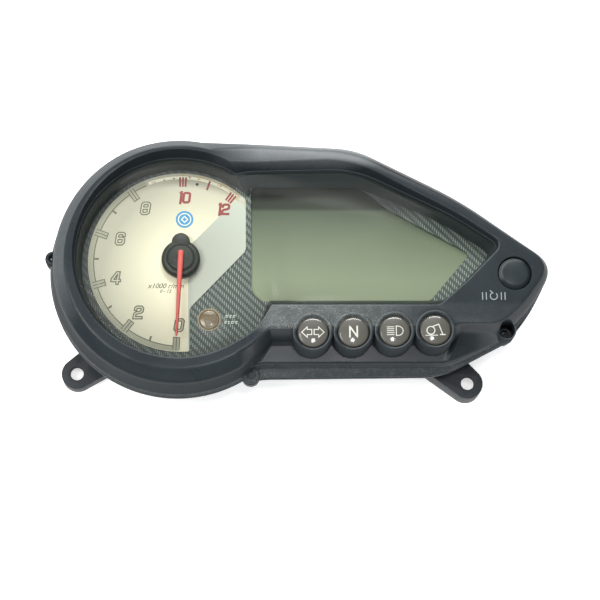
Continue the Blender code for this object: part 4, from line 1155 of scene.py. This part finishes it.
def ribs():
    """Low stiffening ribs on the back of the tray."""
    lines = ((-95, -20, 20), (-75, -34, 38), (-50, -40, 44), (24, -34, 40), (62, -30, 26), (84, -22, 16))
    for index, (x, start, end) in enumerate(lines, 1):
        eased(piece(f"back_rib_{index}", "case_black", *strip([(x, start), (x, end)], 1.6, 2.1, 1.2)), 0.35)


def socket():
    """The harness inlet: a keyed box open at the back, with holes for six pins in its floor."""
    x, y = CONNECTOR
    low, high = 0.4, 13.7
    body = slab("harness_socket", "nylon", round_polygon(box(x, y, 16.6, 7.6), 1.5), low, high,
                stands_for=("connector_socket",))
    cut(body, round_polygon(box(x, y, 14.8, 5.8), 1.0), low - 2, high - 2.4)
    for k in range(6):
        cut(body, circle(x + (k - 2.5) * 4.4, y, 0.75, 16), 8.0, 20.0)
    eased(body, 0.3, 2)
    for index, dx in enumerate((-9.0, 0.0, 9.0), 1):
        piece(f"socket_key_{index}", "nylon", *strip([(x + dx, y + 5.85), (x + dx, y + 4.9)], 1.2, 0.8, 8.0))


def screws():
    """Pan head screws with a cross recess, seen from the back."""
    profile = ((0, 20.3), (1.5, 20.3), (2.4, 20.7), (2.8, 21.4), (2.8, 22.1), (1.2, 22.1), (1.2, 30.6),
               (0, 30.6))
    for index, (x, y, _) in enumerate(CASE_SCREWS, 1):
        screw = turned(f"flange_screw_{index}", "steel", profile, (x, y), 32, rounding=0.2,
                       stands_for=(f"case_screw_{index}",))
        for halves in ((1.5, 0.32), (0.32, 1.5)):
            cut(screw, box(x, y, *halves), 19.0, 21.2)


def frame_looks():
    """Gives every frame node that stays in sight, or inside, the look of its slot."""
    for entry in frame["record"]["subparts"]:
        node = frame["nodes"][entry["node"]]
        node.data.materials.clear()
        node.data.materials.append(LOOKS[entry["material_slot"]])


# Stage, light and camera


def stage():
    n = Look("floor_look")
    tone = n.mix(n.noise(3.0, 2.0, 0.5), (0.86, 0.86, 0.86), (0.88, 0.88, 0.88))
    n.set(Base_Color=tone, Roughness=0.9, Specular_IOR_Level=0.1, Emission_Color=(1.0, 1.0, 1.0),
          Emission_Strength=0.6)
    bpy.ops.mesh.primitive_plane_add(size=8.0, location=(0, 0, 0))
    floor = bpy.context.object
    floor.name = "floor"
    floor.data.materials.append(n.material)


def area(name, place, aim, size, power, colour=(1.0, 1.0, 1.0), form="RECTANGLE"):
    light = bpy.data.lights.new(name, "AREA")
    light.shape = form
    light.size, light.size_y = size
    light.energy = power
    light.color = colour
    obj = bpy.data.objects.new(name, light)
    bpy.context.scene.collection.objects.link(obj)
    obj.location = place
    direction = Vector(aim) - Vector(place)
    obj.rotation_euler = direction.to_track_quat("-Z", "Y").to_euler()


def lights():
    """A pale room, a long light behind, a weak one in front, a soft one high on the left, a small lamp."""
    world = bpy.data.worlds.new("studio")
    bpy.context.scene.world = world
    world.use_nodes = True
    background = world.node_tree.nodes["Background"]
    background.inputs["Color"].default_value = (0.95, 0.98, 1.0, 1.0)
    background.inputs["Strength"].default_value = 0.62
    area("behind", (0.0, 0.72, 0.98), (0, 0, 0.04), (0.8, 0.14), 11.5, (1.0, 0.99, 0.97))
    area("front", (-0.25, -0.95, 0.75), (0, 0, 0.04), (1.0, 0.10), 0.7)
    area("high_left", (-0.60, -0.05, 1.15), (-0.03, 0, 0.04), (0.5, 0.5), 9.0, (1.0, 0.985, 0.95))
    area("lamp_spot", (0.06, -0.075, 1.05), (0.03, 0, 0.05), (0.12, 0.12), 2.0, form="ELLIPSE")


def camera():
    """A camera 900 mm from the middle of the view, 14 degrees below straight on and 2 degrees to the left."""
    pitch = math.radians(14.0)
    yaw = math.radians(2.0)
    distance = 900.0
    aim = Vector((3.0, -16.8, 40.0))
    view_width = 0.4819 * 600.0
    sensor = 36.0
    back = Vector((-math.sin(yaw), -math.sin(pitch), math.cos(pitch))).normalized()
    right = Vector((1, 0, 0))
    right = (right - back * right.dot(back)).normalized()
    up = back.cross(right)
    data = bpy.data.cameras.new("camera")
    data.sensor_width = sensor
    data.lens = sensor * distance / view_width
    obj = bpy.data.objects.new("camera", data)
    bpy.context.scene.collection.objects.link(obj)
    turn = Matrix((right, up, back)).transposed().to_4x4()
    obj.matrix_world = Matrix.Translation((aim + back * distance) * MM) @ turn
    bpy.context.scene.camera = obj


camera()
frame_looks()
for build in (bezel, mask, window, trim, dial, pointer, lamps, button, case, stage, lights):
    build()
bpy.context.scene.view_settings.view_transform = "Standard"
